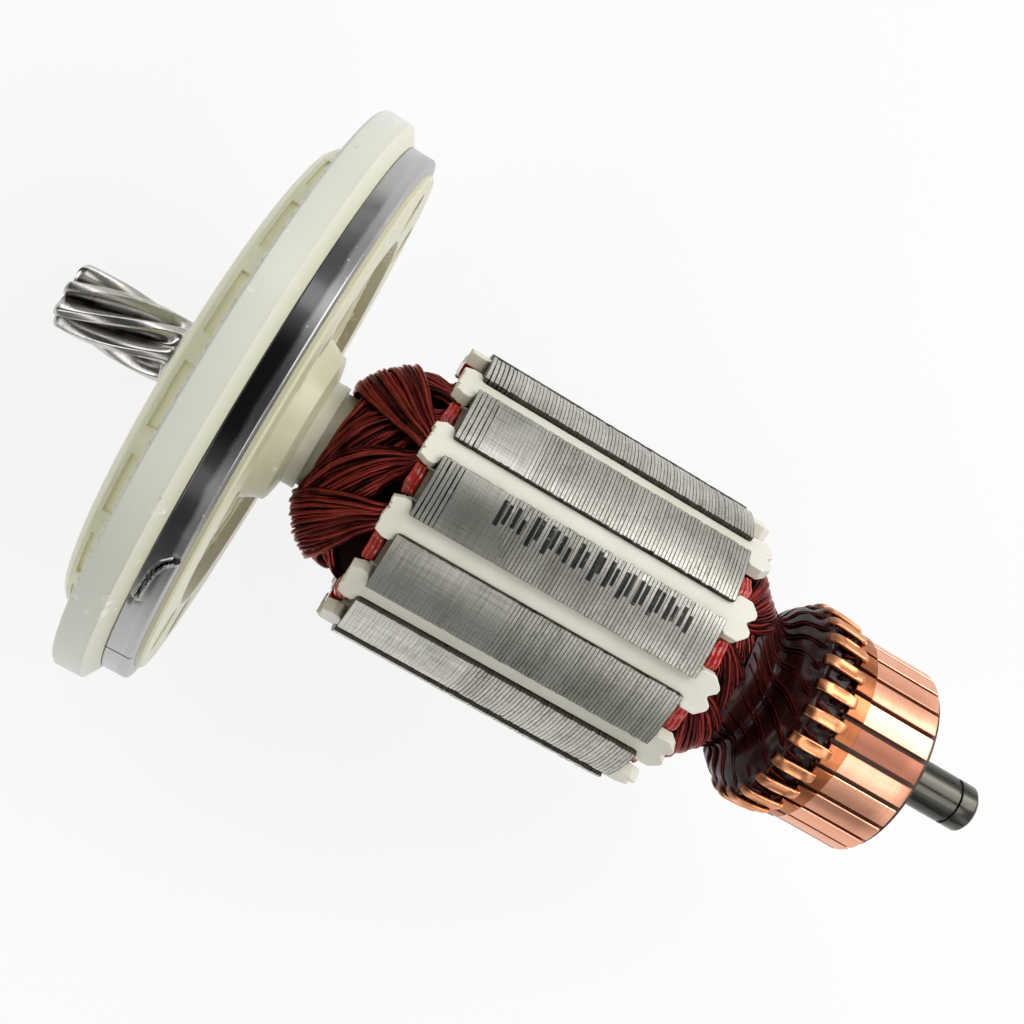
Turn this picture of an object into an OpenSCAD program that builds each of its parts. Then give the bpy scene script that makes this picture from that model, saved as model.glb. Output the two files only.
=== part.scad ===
// Wound motor armature: a turned shaft with a cut helical pinion, a laminated
// twelve-slot core with insulation, windings and slot wedges, a moulded cooling
// fan with a rolled steel balance ring, and a hook-type commutator.
//
// Frame: +X runs along the shaft from the pinion to the commutator end, +Z is the
// middle of a core tooth and of a commutator bar. The origin is on the shaft axis,
// in the middle of the drive-end bearing seat. Every length is in millimetres.

/* [Shaft] */
// Outside diameter of the helical pinion
pinion_od = 9.2; // [8.6:0.1:9.4]
// Diameter at the bottom of the pinion's grooves
pinion_root_d = 5.4; // [4.6:0.1:6.4]
// Axial length of one full turn of a pinion tooth
pinion_lead = 63; // [45:1:90]
// Length of the pinion from the shaft's tip to the end of the cutter run-out
pinion_len = 13.6; // [11:0.2:18]
// Length over which the cutter leaves the grooves
runout_len = 3.8; // [2.5:0.1:5]
// Diameter of the plain neck between the pinion and the bearing seat
neck_d = 9.5; // [9.5:0.1:9.9]
// Diameter of the drive-end bearing seat
seat_d = 10; // [10:0.1:10.4]
// Length of the drive-end bearing seat
seat_len = 9; // [8:0.5:11]
// Diameter of the shaft where the fan is moulded on
fan_seat_d = 10.5; // [10.5:0.1:10.9]
// Diameter of the shaft inside the insulating sleeve
body_d = 11; // [11:0.1:11.6]
// Diameter of the shaft inside the commutator
comm_seat_d = 9; // [8:0.1:10]
// Diameter of the commutator-end journal
journal_d = 7; // [6:0.1:7.8]
// Length of the commutator-end journal, from its shoulder to the shaft's end
journal_len = 13.5; // [11:0.5:18]
// Width of the clip groove near the shaft's end
clip_groove_w = 0.6; // [0.4:0.1:1.2]
// Depth of the clip groove
clip_groove_depth = 0.3; // [0.2:0.05:0.5]

/* [Insulating sleeve] */
// Wall of the sleeve between the shaft and the core
sleeve_wall = 1.3; // [1:0.1:1.5]
// Diameter of the sleeve's collar next to the fan
collar_d = 15; // [14.6:0.1:16]
// Length of the sleeve's collar
collar_len = 1.75; // [1.2:0.05:2.5]

/* [Core] */
// Outside diameter of the laminated core
core_d = 42; // [41:0.5:46]
// Length of the laminated core
core_len = 40; // [30:1:60]
// Thickness of one lamination
lamination_t = 0.5; // [0.35:0.05:0.65]
// Gap between the end laminations, which stand apart
lamination_gap = 0.12; // [0.05:0.01:0.2]
// Number of laminations that stand apart at the drive end
loose_laminations = 5; // [3:1:6]
// Width of the slot openings between the tooth tips
slot_opening = 2.68; // [2.2:0.02:3.2]
// Radial thickness of the tooth tips at the slot openings
tip_t = 1.1; // [0.9:0.05:1.4]
// Width of the teeth under their tips
tooth_w = 3.9; // [3.5:0.1:4.3]
// Width of the slots at their bottom
slot_bottom_w = 2.6; // [2.3:0.1:2.8]
// Radius at the bottom of the slots
slot_bottom_r = 12; // [11.6:0.1:12.4]

/* [Slot insulation] */
// Thickness of the end plates
end_plate_t = 0.5; // [0.4:0.05:0.7]
// Thickness of the slot liners
liner_t = 0.3; // [0.2:0.02:0.4]
// How far the liners stand out of the core
liner_out = 0.9; // [0.7:0.05:1.2]
// Radial thickness of the wedges' heads
wedge_t = 1.1; // [0.9:0.05:1.3]
// How far the wedges' faces lie below the tooth faces
wedge_recess = 0.9; // [0.7:0.05:1]
// Width of the wedge arms outside the core
arm_w = 5.6; // [5:0.1:5.8]
// How far the arms stand out at the drive end
drive_arm_len = 2.8; // [2.4:0.1:3.2]
// How far the arms stand out at the commutator end
comm_arm_len = 3.7; // [3.2:0.1:4]
// Depth of the notch between the horns of an arm
horn_notch = 0.9; // [0.5:0.05:1.2]

/* [Winding] */
// Length of the end winding at the drive end
drive_overhang = 13.6; // [12.6:0.1:16]
// Length of the end winding at the commutator end
comm_overhang = 11.4; // [11:0.1:14]
// Share of the pitch that each end bundle fills
bundle_fill = 0.9; // [0.7:0.01:0.94]
// Thickness of the end bundles
bundle_t = 2.4; // [1.8:0.1:2.5]
// Width of the varnished wire saddles at the tooth ends, in degrees
saddle_angle = 10.4; // [8:0.2:11]
// Diameter of the wire that runs to the commutator hooks
wire_d = 0.64; // [0.4:0.02:0.7]

/* [Fan] */
// Outside diameter of the fan's rim
rim_d = 80.8; // [79:0.2:90]
// Width of the rim
rim_w = 3.8; // [3:0.1:5]
// Diameter of the front flange
flange_d = 66.4; // [65:0.2:70]
// Distance from the bearing seat's middle to the fan's front face
fan_front = 0.8; // [0.4:0.1:2]
// Distance from the front face to the rim
flange_w = 3.6; // [3.2:0.1:5]
// Diameter of the recess around the bearing
bearing_recess_d = 32; // [28:0.5:33]
// Number of blades between the flange and the rim
blade_count = 18; // [12:1:20]
// Thickness of the blades
blade_t = 1.6; // [1:0.1:2.2]
// Number of gussets behind the hub
gusset_count = 12; // [6:1:16]
// Diameter of the round pockets in the rear face
vent_d = 6; // [4:0.2:7]
// Distance from the blade cells' edge out to the middle of the round pockets
vent_offset = 1.8; // [1.6:0.1:2.8]

/* [Balance ring] */
// Outside diameter of the steel ring
ring_d = 76.2; // [75.6:0.1:77]
// Radial thickness of the steel ring
ring_t = 1.8; // [1.4:0.1:2]
// Width of the steel ring
ring_w = 3.35; // [3:0.05:3.8]
// Gap at the ring's butt joint
ring_seam = 0.2; // [0.1:0.05:0.4]

/* [Commutator] */
// Diameter of the brush track
track_d = 27.8; // [27.2:0.1:28.4]
// Length of the brush track
track_len = 10.4; // [8:0.2:14]
// Length of the riser band behind the hooks
riser_len = 2.7; // [2.2:0.1:3.5]
// Length of the bars under the hooks
tang_len = 5.8; // [5.4:0.1:6.4]
// Width of the slits between the bars
slit_w = 0.6; // [0.4:0.05:0.8]
// Depth of the slits above the moulding
slit_depth = 0.8; // [0.5:0.05:1.1]
// Radial depth of the copper bars
bar_depth = 4.3; // [3.6:0.1:4.6]
// Width of the hooks
hook_w = 1.6; // [1.2:0.05:1.8]
// Thickness of the hooks
hook_t = 0.72; // [0.6:0.02:0.8]

/* [Hidden] */
slot_count = 12;
bar_count = 24;
coil_span = 5;      // slots from one side of a coil to the other
pinion_teeth = 7;

LOOP = [for (i = [1 : slot_count]) i];
BARS = [for (i = [1 : bar_count]) i];
function tag(i) = i < 10 ? str("0", i) : str(i);
function coil_name(i) = str("coil_", tag(i));
function wedge_name(i) = str("slot_wedge_", tag(i));
function bar_name(i) = str("commutator_bar_", tag(i));

fit = 0.05;         // clearance between pieces that slide together
lap = 0.5;          // how far joined shapes of one piece run into each other
slot_pitch = 360 / slot_count;
bar_pitch = 360 / bar_count;

// Stations along the shaft
x_seat = -seat_len / 2;
x_seat_end = seat_len / 2;
neck_len = 1.5;
x_runout = x_seat - neck_len;
x_tip = x_runout - pinion_len;
x_fan = -fan_front;
x_rim = x_fan + flange_w;
x_step = x_rim + rim_w;
step_w = 1.3;
x_ring = x_step + step_w;
face_out = 0.8;     // how far the plastic face stands past the steel ring
x_face = x_ring + ring_w + face_out;
hub_out = 2.6;      // how far the hub stands past that face
x_hub = x_face + hub_out;
x_core = x_hub + collar_len + drive_overhang;
x_core_end = x_core + core_len;
neck_gap = 3;       // from the end winding to the commutator's moulding
x_nose = x_core_end + comm_overhang + neck_gap;
nose_len = 2;
x_bar = x_nose + nose_len;
x_riser = x_bar + tang_len;
x_track = x_riser + riser_len;
x_bar_end = x_track + track_len;
boss_out = 2.1;     // how far the moulding stands past the bars
x_journal = x_bar_end + boss_out;
x_end = x_journal + journal_len;

// Radii
core_r = core_d / 2;
sleeve_r = body_d / 2 + sleeve_wall;
tip_r = core_r - tip_t;              // underside of the tooth tips at the opening
shoulder_drop = 0.5;                 // the tips' undersides slope by this much
shoulder_r = tip_r - shoulder_drop;
wedge_r = core_r - wedge_recess;     // outer face of the wedges
wedge_in_r = shoulder_r - wedge_t;   // inner face of the wedges
slot_top_half = shoulder_r * tan(slot_pitch / 2) - tooth_w / 2 / cos(slot_pitch / 2);
track_r = track_d / 2;
riser_r = track_r + 0.2;
tang_r = track_r - 0.6;
bar_in_r = track_r - bar_depth;
slit_floor_r = track_r - slit_depth;
nose_r = bar_in_r - 0.6;

// ---- Shapes about the shaft axis -------------------------------------------------

// Turned solid from an outline of [x, radius] points
module turned(outline) {
    rotate([0, 90, 0]) rotate_extrude($fn = 96) polygon([for (p = outline) [p[1], p[0]]]);
}

// Part of a turned solid that spans an angle, centred on +Z
module turned_sector(outline, angle) {
    rotate([0, 90, 0]) rotate([0, 0, 180 - angle / 2])
        rotate_extrude(angle = angle, $fn = 96) polygon([for (p = outline) [p[1], p[0]]]);
}

// Extrusion along +X of a shape drawn as [y, z]
module along_x(from, to) {
    translate([from, 0, 0]) rotate([90, 0, 90]) linear_extrude(to - from) children();
}

// Turns what is drawn at +Z round the axis; positive angles go towards -Y
module at_angle(a) {
    rotate([a, 0, 0]) children();
}

// Copies what is drawn at +Z evenly round the axis
module spread(count, start = 0) {
    for (i = [0 : count - 1]) at_angle(start + i * 360 / count) children();
}

// Point at a station, a radius and an angle
function spot(x, r, a) = [x, -r * sin(a), r * cos(a)];

// Outline closed by its own mirror image about the [0, z] line
function both_sides(half) = concat(half, [for (i = [len(half) - 1 : -1 : 0]) [-half[i][0], half[i][1]]]);

// Triangles of a tube of `rings` rings with `sides` points each
function tube_faces(rings, sides, closed) = concat(
    [for (j = [0 : rings - (closed ? 1 : 2)], k = [0 : sides - 1]) let (
            here = j * sides,
            next = ((j + 1) % rings) * sides,
            k2 = (k + 1) % sides
        ) each [[here + k, here + k2, next + k2], [here + k, next + k2, next + k]]],
    closed ? [] : [[for (k = [sides - 1 : -1 : 0]) k],
                   [for (k = [0 : sides - 1]) (rings - 1) * sides + k]]
);

// ---- Shaft -----------------------------------------------------------------------

pinion_phase = -4;
tip_chamfer = 0.7;
tooth_points = 12;
pinion_rings = 15;

// Depth of the grooves at a distance from the tip, as a share of full depth
function groove_share(d) = let (left = pinion_len - d)
    left >= runout_len ? 1 : sqrt(max(0, 1 - pow(1 - left / runout_len, 2)));

// Tooth form: 1 on the rounded crest and 0 at the bottom of a groove
function tooth_form(a) = pow((1 + cos(a * pinion_teeth)) / 2, 0.8);

function pinion_radius(d, a) = let (
        crest = pinion_od / 2,
        depth = (pinion_od - pinion_root_d) / 2 * groove_share(d),
        limit = crest - max(0, tip_chamfer - d)
    ) min(limit, crest - depth * (1 - min(1, 1.12 * tooth_form(a))));

module pinion() {
    sides = pinion_teeth * tooth_points;
    stations = concat([0, tip_chamfer], [for (i = [1 : pinion_rings]) tip_chamfer
        + i * (pinion_len - tip_chamfer) / pinion_rings], [pinion_len + lap]);
    points = [for (d = stations, k = [0 : sides - 1]) let (a = -k * 360 / sides)
        spot(x_tip + d, pinion_radius(min(d, pinion_len), a), pinion_phase + a - 360 * d / pinion_lead)];
    polyhedron(points, tube_faces(len(stations), sides, false));
}

module shaft() {
    end_chamfer = 0.7;
    seat_chamfer = 0.25;
    groove_end = x_end - 3.1;
    groove_r = journal_d / 2 - clip_groove_depth;
    color("dimgray") union() {
        pinion();
        turned([
            [x_runout - 0.1, 0], [x_runout - 0.1, neck_d / 2], [x_seat, neck_d / 2],
            [x_seat, seat_d / 2 - seat_chamfer], [x_seat + seat_chamfer, seat_d / 2],
            [x_seat_end, seat_d / 2], [x_seat_end, fan_seat_d / 2], [x_hub, fan_seat_d / 2],
            [x_hub, body_d / 2], [x_nose, body_d / 2], [x_nose, comm_seat_d / 2],
            [x_journal, comm_seat_d / 2], [x_journal, journal_d / 2],
            [groove_end - clip_groove_w, journal_d / 2], [groove_end - clip_groove_w, groove_r],
            [groove_end, groove_r], [groove_end, journal_d / 2],
            [x_end - end_chamfer, journal_d / 2], [x_end, journal_d / 2 - end_chamfer], [x_end, 0]
        ]);
    }
}

module shaft_sleeve() {
    color("white") turned([
        [x_hub, body_d / 2], [x_hub, collar_d / 2], [x_hub + collar_len, collar_d / 2],
        [x_hub + collar_len, sleeve_r], [x_nose, sleeve_r], [x_nose, body_d / 2]
    ]);
}

// ---- Core ------------------------------------------------------------------------

// Half width of a slot at a radius
function slot_half(r) = slot_bottom_w / 2
    + (slot_top_half - slot_bottom_w / 2) * (r - slot_bottom_r) / (shoulder_r - slot_bottom_r);

// Slot between two teeth as [y, z], open through the tooth tips
module slot_shape() {
    chamfer = 0.6;
    polygon(both_sides([
        [slot_bottom_w / 2 - chamfer, slot_bottom_r],
        [slot_half(slot_bottom_r + chamfer), slot_bottom_r + chamfer],
        [slot_top_half, shoulder_r], [slot_opening / 2, tip_r], [slot_opening / 2, core_r + 1]
    ]));
}

module lamination_shape() {
    difference() {
        circle(core_r, $fn = 128);
        circle(sleeve_r, $fn = 96);
        for (i = LOOP) rotate(slot_pitch * (i - 0.5)) slot_shape();
    }
}

loose_pitch = lamination_t + lamination_gap;
stack_start = x_core + loose_laminations * loose_pitch;

module core_stack() {
    color("silver") along_x(stack_start, x_core_end) lamination_shape();
}

module core_end_laminations() {
    color("gainsboro") for (i = [0 : loose_laminations - 1])
        along_x(x_core + i * loose_pitch, x_core + i * loose_pitch + lamination_t) lamination_shape();
}

// ---- Slot insulation -------------------------------------------------------------

module end_plate_shape() {
    intersection() {
        lamination_shape();
        circle(wedge_in_r - fit, $fn = 96);
    }
}

module end_plates() {
    color("whitesmoke") {
        along_x(x_core - end_plate_t, x_core) end_plate_shape();
        along_x(x_core_end, x_core_end + end_plate_t) end_plate_shape();
    }
}

// Part of the slot below the wedge, drawn in by a margin
module liner_outline(margin, top) {
    chamfer = 0.6;
    low = slot_bottom_r + margin;
    polygon(both_sides([
        [slot_half(low) - chamfer - margin, low],
        [slot_half(low + chamfer) - margin, low + chamfer],
        [slot_half(top) - margin, top]
    ]));
}

module slot_liner() {
    top = wedge_in_r - fit;
    along_x(x_core - liner_out, x_core_end + liner_out) difference() {
        liner_outline(fit / 2, top);
        liner_outline(fit / 2 + liner_t, top + 1);
    }
}

module slot_liners() {
    color("beige") spread(slot_count, slot_pitch / 2) slot_liner();
}

// Cross-section of a wedge inside its slot
module wedge_section() {
    side = fit + slot_half(shoulder_r) - slot_half(shoulder_r - fit);
    polygon(both_sides([
        [slot_half(wedge_in_r) - side, wedge_in_r], [slot_top_half - side, shoulder_r - fit],
        [slot_opening / 2 - fit, tip_r - fit], [slot_opening / 2 - fit, wedge_r]
    ]));
}

// Plate of arm outline [x, y] between the wedge's inner and outer faces
module arm_plate() {
    translate([0, 0, wedge_in_r]) linear_extrude(wedge_r - wedge_in_r) children();
}

module drive_arm() {
    corner = 0.5;
    waist = 0.35;
    arm_plate() translate([x_core, 0]) polygon([
        [-fit, -arm_w / 2], [-drive_arm_len + corner, -arm_w / 2], [-drive_arm_len, -arm_w / 2 + corner],
        [-drive_arm_len + waist, -arm_w / 6], [-drive_arm_len + waist, arm_w / 6],
        [-drive_arm_len, arm_w / 2 - corner], [-drive_arm_len + corner, arm_w / 2], [-fit, arm_w / 2]
    ]);
}

module comm_arm() {
    corner = 1.1;
    tine = 0.9;      // width of the flat on a horn's end
    arm_plate() translate([x_core_end, 0]) polygon([
        [fit, -arm_w / 2], [comm_arm_len - corner, -arm_w / 2],
        [comm_arm_len, -arm_w / 2 + corner], [comm_arm_len, -arm_w / 2 + corner + tine],
        [comm_arm_len - horn_notch, 0], [comm_arm_len, arm_w / 2 - corner - tine],
        [comm_arm_len, arm_w / 2 - corner], [comm_arm_len - corner, arm_w / 2], [fit, arm_w / 2]
    ]);
}

module slot_wedge(i) {
    color("ivory") at_angle(slot_pitch * (i - 0.5)) union() {
        along_x(x_core - drive_arm_len / 2, x_core_end + comm_arm_len / 2) wedge_section();
        drive_arm();
        comm_arm();
    }
}

// ---- Winding ---------------------------------------------------------------------

coil_gap = 0.15;                          // between the two coil sides in a slot
coil_clear = 0.2;                         // from a coil to the slot's bottom and to the wedge
coil_low_r = slot_bottom_r + liner_t + coil_clear;
coil_high_r = wedge_in_r - coil_clear;
coil_mid_r = (coil_low_r + coil_high_r) / 2;
side_t = coil_high_r - coil_mid_r - coil_gap;     // radial thickness of a coil side
outer_side_r = coil_high_r - side_t / 2;
inner_side_r = coil_low_r + side_t / 2;
span_angle = coil_span * slot_pitch;
bundle_half = slot_pitch / 2 * bundle_fill;
exit_half = 7.5;                          // half width of a bundle as it leaves its slot

// Half width in degrees of a coil side at a radius
function side_half(r) = asin((slot_half(r) - liner_t - 4 * fit) / r);

// Course of an end turn: share of the overhang, share of the height from the sleeve
// to the outer coil side, share of the turn to the coil's other side, thickness share;
// the thinnest stretch, next to the shaft, is also a little narrower
TURN = [
    [0.08, 1.00, 0.00, 1.00], [0.22, 0.93, 0.00, 1.00], [0.37, 0.83, 0.07, 1.00],
    [0.54, 0.68, 0.17, 1.00], [0.70, 0.52, 0.30, 1.00], [0.82, 0.38, 0.41, 0.90],
    [0.87, 0.27, 0.50, 0.80], [0.84, 0.17, 0.58, 0.76], [0.76, 0.13, 0.65, 0.78],
    [0.62, 0.19, 0.74, 0.88], [0.46, 0.31, 0.83, 0.95], [0.31, 0.46, 0.92, 0.95],
    [0.19, 0.58, 0.99, 0.95], [0.08, 0.00, 1.00, 1.00]
];

// Stations of an end turn as [x, radius, angle, half thickness, outer half, inner half]
function end_turn(face, dir, overhang) = [for (i = [0 : len(TURN) - 1]) let (
        t = TURN[i],
        first = i == 0,
        last = i == len(TURN) - 1,
        ends = first || last,
        r = last ? inner_side_r : sleeve_r + t[1] * (outer_side_r - sleeve_r),
        half_t = ends ? side_t / 2 : bundle_t / 2 * t[3],
        exiting = i == 1 || i == len(TURN) - 2,
        half = exiting ? exit_half : bundle_half * min(1, t[3] + 0.1)
    ) [
        face + dir * t[0] * overhang, r, t[2] * span_angle, half_t,
        ends ? side_half(r + (first ? 1 : -1) * half_t) : half,
        ends ? side_half(r - (first ? 1 : -1) * half_t) : half
    ]];

function reversed(v) = [for (i = [len(v) - 1 : -1 : 0]) v[i]];

COIL_PATH = concat(
    end_turn(x_core_end, 1, comm_overhang),
    reversed(end_turn(x_core, -1, drive_overhang))
);

// Section corners as shares of the half thickness and the half width
SECTION = [[1, -0.6], [0.6, -1], [-0.6, -1], [-1, -0.6], [-1, 0.6], [-0.6, 1], [0.6, 1], [1, 0.6]];

function section_ring(j) = let (
        count = len(COIL_PATH),
        here = COIL_PATH[j],
        before = COIL_PATH[(j + count - 1) % count],
        after = COIL_PATH[(j + 1) % count],
        dx = after[0] - before[0],
        dr = after[1] - before[1],
        size = sqrt(dx * dx + dr * dr)
    ) [for (s = SECTION) let (
        half = (here[4] + here[5]) / 2 + s[0] * (here[4] - here[5]) / 2,
        n = s[0] * here[3]
    ) spot(here[0] - n * dr / size, here[1] + n * dx / size, here[2] + s[1] * half)];

module coil(i) {
    rings = len(COIL_PATH);
    points = [for (j = [0 : rings - 1]) each section_ring(j)];
    color("maroon") at_angle(slot_pitch * (i - 0.5))
        polyhedron(points, tube_faces(rings, len(SECTION), true));
}

// Varnished wires that cross the end of a tooth between two wedge arms
module saddle(face, dir) {
    chamfer = 0.5;
    saddle_len = 2.2;
    saddle_t = 1.9;
    near = face + dir * (end_plate_t + fit);
    far = near + dir * saddle_len;
    top = wedge_in_r - 2 * fit;
    low = top - saddle_t;
    turned_sector([
        [near, low], [near, top], [far - dir * chamfer, top], [far, top - chamfer],
        [far, low + chamfer], [far - dir * chamfer, low]
    ], saddle_angle);
}

module winding_saddles() {
    color("firebrick") {
        spread(slot_count) saddle(x_core, -1);
        spread(slot_count) saddle(x_core_end, 1);
    }
}

// ---- Fan -------------------------------------------------------------------------

pocket_floor = x_ring + 0.5;
cell_floor = pocket_floor - 3;
hub_wall_r = bearing_recess_d / 2 + 2;
cell_r = flange_d / 2 - 4;
vent_r = cell_r + vent_offset;
ring_in_r = ring_d / 2 - ring_t;
face_in_r = 27;
boss_r = 14;            // foot of the step round the collar
gusset_foot_r = 11.4;
gusset_top_r = 14.5;

module fan_body() {
    turned([
        [x_seat_end, fan_seat_d / 2], [x_seat_end, bearing_recess_d / 2], [x_fan, bearing_recess_d / 2],
        [x_fan, flange_d / 2 - 5], [x_fan + 0.2, flange_d / 2 - 2], [x_fan + 0.5, flange_d / 2 - 0.8],
        [x_fan + 1.2, flange_d / 2], [x_rim, flange_d / 2],
        [x_rim, rim_d / 2 - 0.4], [x_rim + 0.4, rim_d / 2], [x_step, rim_d / 2],
        [x_ring, ring_d / 2 + 0.1], [x_ring, ring_in_r], [x_face - 0.3, ring_in_r],
        [x_face, ring_in_r - 0.3], [x_face, face_in_r], [pocket_floor, face_in_r - 0.4],
        [pocket_floor, boss_r], [x_hub - 3.65, 12], [x_hub - 1.75, 10.9], [x_hub - 0.75, 10.6],
        [x_hub - 0.45, 9.9], [x_hub, collar_d / 2], [x_hub, fan_seat_d / 2]
    ]);
}

// Space between two blades, open at the front
module blade_cell() {
    angle = 360 / blade_count - 2 * asin(blade_t / 2 / hub_wall_r);
    turned_sector([
        [x_fan - 1, hub_wall_r], [x_fan - 1, cell_r], [cell_floor - 1, cell_r], [cell_floor, cell_r - 1],
        [cell_floor, hub_wall_r]
    ], angle);
}

// Shallow window in the flange's edge, next to the rim
module flange_window() {
    angle = 0.7 * 360 / blade_count;
    depth = 0.5;
    turned_sector([
        [x_rim - 1.9, flange_d / 2 - depth], [x_rim - 1.9, flange_d / 2 + 1],
        [x_rim - 0.4, flange_d / 2 + 1], [x_rim - 0.4, flange_d / 2 - depth]
    ], angle);
}

module gusset() {
    width = 1.2;
    rotate([90, 0, 0]) translate([0, 0, -width / 2]) linear_extrude(width) polygon([
        [pocket_floor - lap, gusset_foot_r], [x_hub - 3.4, gusset_foot_r], [x_face - 0.6, gusset_top_r],
        [x_face - 1.4, face_in_r - 1.5], [x_face - 1.1, face_in_r + lap], [pocket_floor - lap, face_in_r + lap]
    ]);
}

module fan() {
    window_phase = 11;
    vent_angles = [-108, -72, 78, 108];
    color("cornsilk") difference() {
        union() {
            fan_body();
            spread(gusset_count, 360 / gusset_count / 2) gusset();
        }
        spread(blade_count, window_phase) blade_cell();
        spread(blade_count, window_phase) flange_window();
        for (a = vent_angles) at_angle(a) translate([x_rim + 1.5, 0, vent_r])
            rotate([0, 90, 0]) cylinder(h = x_hub - x_rim, d = vent_d, $fn = 48);
    }
}

// ---- Balance ring ----------------------------------------------------------------

module balance_ring() {
    seam_angle = 63;
    lance_angle = 40;
    lance_len = 6;
    edge = 0.35;
    outer = ring_d / 2;
    end = x_ring + ring_w;
    color("slategray") difference() {
        turned([
            [x_ring, ring_in_r], [x_ring, outer - edge / 2], [x_ring + edge / 2, outer],
            [end - edge, outer], [end, outer - edge], [end, ring_in_r]
        ]);
        at_angle(seam_angle) translate([x_ring - 1, -ring_seam / 2, ring_in_r - 1])
            cube([ring_w + 2, ring_seam, ring_t + 2]);
        // Slit and pressed-in corner of the tab that holds the ring on the plastic
        at_angle(lance_angle) translate([x_ring + ring_w / 2 - 0.4, 0, outer - 0.6]) {
            rotate([0, 0, -12]) translate([-0.15, -lance_len / 2, 0]) cube([0.3, lance_len, 2]);
            translate([0.55, lance_len / 2 - 0.35, 0]) rotate([0, 0, -25])
                linear_extrude(2) polygon([[0, 0], [1.1, 0.2], [0.2, 1.3]]);
        }
    }
}

// ---- Commutator ------------------------------------------------------------------

hook_r = track_r + 1.3;               // top of the hooks

// Body of a bar as [x, radius]
BAR_OUTLINE = [
    [x_bar, bar_in_r], [x_bar, tang_r], [x_riser, tang_r], [x_riser, riser_r],
    [x_track, riser_r], [x_track + 0.2, track_r], [x_bar_end - 0.25, track_r],
    [x_bar_end, track_r - 0.25], [x_bar_end, bar_in_r]
];

module bar_body() {
    turned_sector(BAR_OUTLINE, bar_pitch - 2 * asin(slit_w / 2 / track_r));
}

// Hook that rises from the bar's end, folds back over the wires and lands on the riser
module hook() {
    rise = hook_r - hook_t;
    land = x_riser + 0.65;
    rotate([90, 0, 0]) translate([0, 0, -hook_w / 2]) linear_extrude(hook_w) polygon([
        [x_bar, tang_r - lap], [x_bar, hook_r - 0.8], [x_bar + 0.25, hook_r - 0.3],
        [x_bar + 0.8, hook_r], [land - 2.2, hook_r], [land - 1.5, hook_r - 0.12],
        [land, hook_r - 0.35], [land, riser_r - 0.1], [x_riser + 0.1, riser_r - 0.1],
        [x_riser - 0.5, rise - 0.15], [x_riser - 1.4, rise], [x_bar + 1.1, rise],
        [x_bar + hook_t, rise - 0.35], [x_bar + hook_t, tang_r - lap]
    ]);
}

module commutator_bar(i) {
    color("peru") at_angle(bar_pitch * (i - 1)) union() {
        bar_body();
        hook();
    }
}

module commutator_moulding() {
    color("saddlebrown") difference() {
        turned([
            [x_nose, comm_seat_d / 2], [x_nose, nose_r], [x_bar, nose_r], [x_bar, slit_floor_r - 0.6],
            [x_riser, slit_floor_r - 0.6], [x_riser, slit_floor_r], [x_bar_end + 0.6, slit_floor_r],
            [x_bar_end + 0.6, 8], [x_journal - 0.6, 6.8], [x_journal, 6.2], [x_journal, comm_seat_d / 2]
        ]);
        spread(bar_count) bar_body();
    }
}

// Outline of the varnished neck, from the end winding to the bars
NECK = [[-2.9, 1.2], [-1.85, -0.1], [-0.9, 0.3], [-0.4, 2.2], [0.4, 3.2], [nose_len - fit, 3.9]];

module resin_neck() {
    color([0.2, 0.1, 0.08]) turned(concat(
        [[x_nose - 2.9, sleeve_r]],
        [for (p = NECK) [x_nose + p[0], nose_r + p[1]]],
        [[x_bar - fit, nose_r], [x_nose, nose_r], [x_nose, sleeve_r]]
    ));
}

// Course of the wire to a hook: distance from the moulding's nose, height over it, angle
LEAD = [
    [-2.6, 1.4, -24], [-1.85, 0.5, -20], [-1.35, 0.6, -17], [-0.9, 2.1, -14], [-0.05, 3.4, -10],
    [1.4, 4.62, -6.6], [3.6, 4.87, -6.3], [5.2, 4.87, -4], [5.7, 4.87, 3.6]
];

module lead() {
    sides = 6;
    count = len(LEAD);
    points = [for (j = [0 : count - 1]) let (
            a = LEAD[max(0, j - 1)],
            b = LEAD[min(count - 1, j + 1)],
            p = spot(x_nose + LEAD[j][0], nose_r + LEAD[j][1], LEAD[j][2]),
            away = spot(x_nose + b[0], nose_r + b[1], b[2]) - spot(x_nose + a[0], nose_r + a[1], a[2]),
            t = away / norm(away),
            out = spot(0, 1, LEAD[j][2]),
            side = cross(t, out) / norm(cross(t, out)),
            up = cross(side, t)
        ) for (k = [0 : sides - 1])
            p + wire_d / 2 * (cos(k * 360 / sides) * side + sin(k * 360 / sides) * up)];
    polyhedron(points, tube_faces(count, sides, false));
}

module commutator_leads() {
    color("darkred") spread(bar_count) lead();
}

// ---- Nodes -----------------------------------------------------------------------

shaft();
shaft_sleeve();
core_stack();
core_end_laminations();
end_plates();
slot_liners();
winding_saddles();
fan();
balance_ring();
resin_neck();
commutator_moulding();
commutator_leads();
for (i = LOOP) coil(i);
for (i = LOOP) slot_wedge(i);
for (i = BARS) commutator_bar(i);
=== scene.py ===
"""Dresses the wound armature: finishes, wires, sheets, resin, floor, light and camera."""

import logging
import math
import random
from dataclasses import dataclass, field
from enum import Enum
from typing import Callable, Iterable, Sequence

import bmesh
import bpy
from mathutils import Euler, Matrix, Vector


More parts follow.
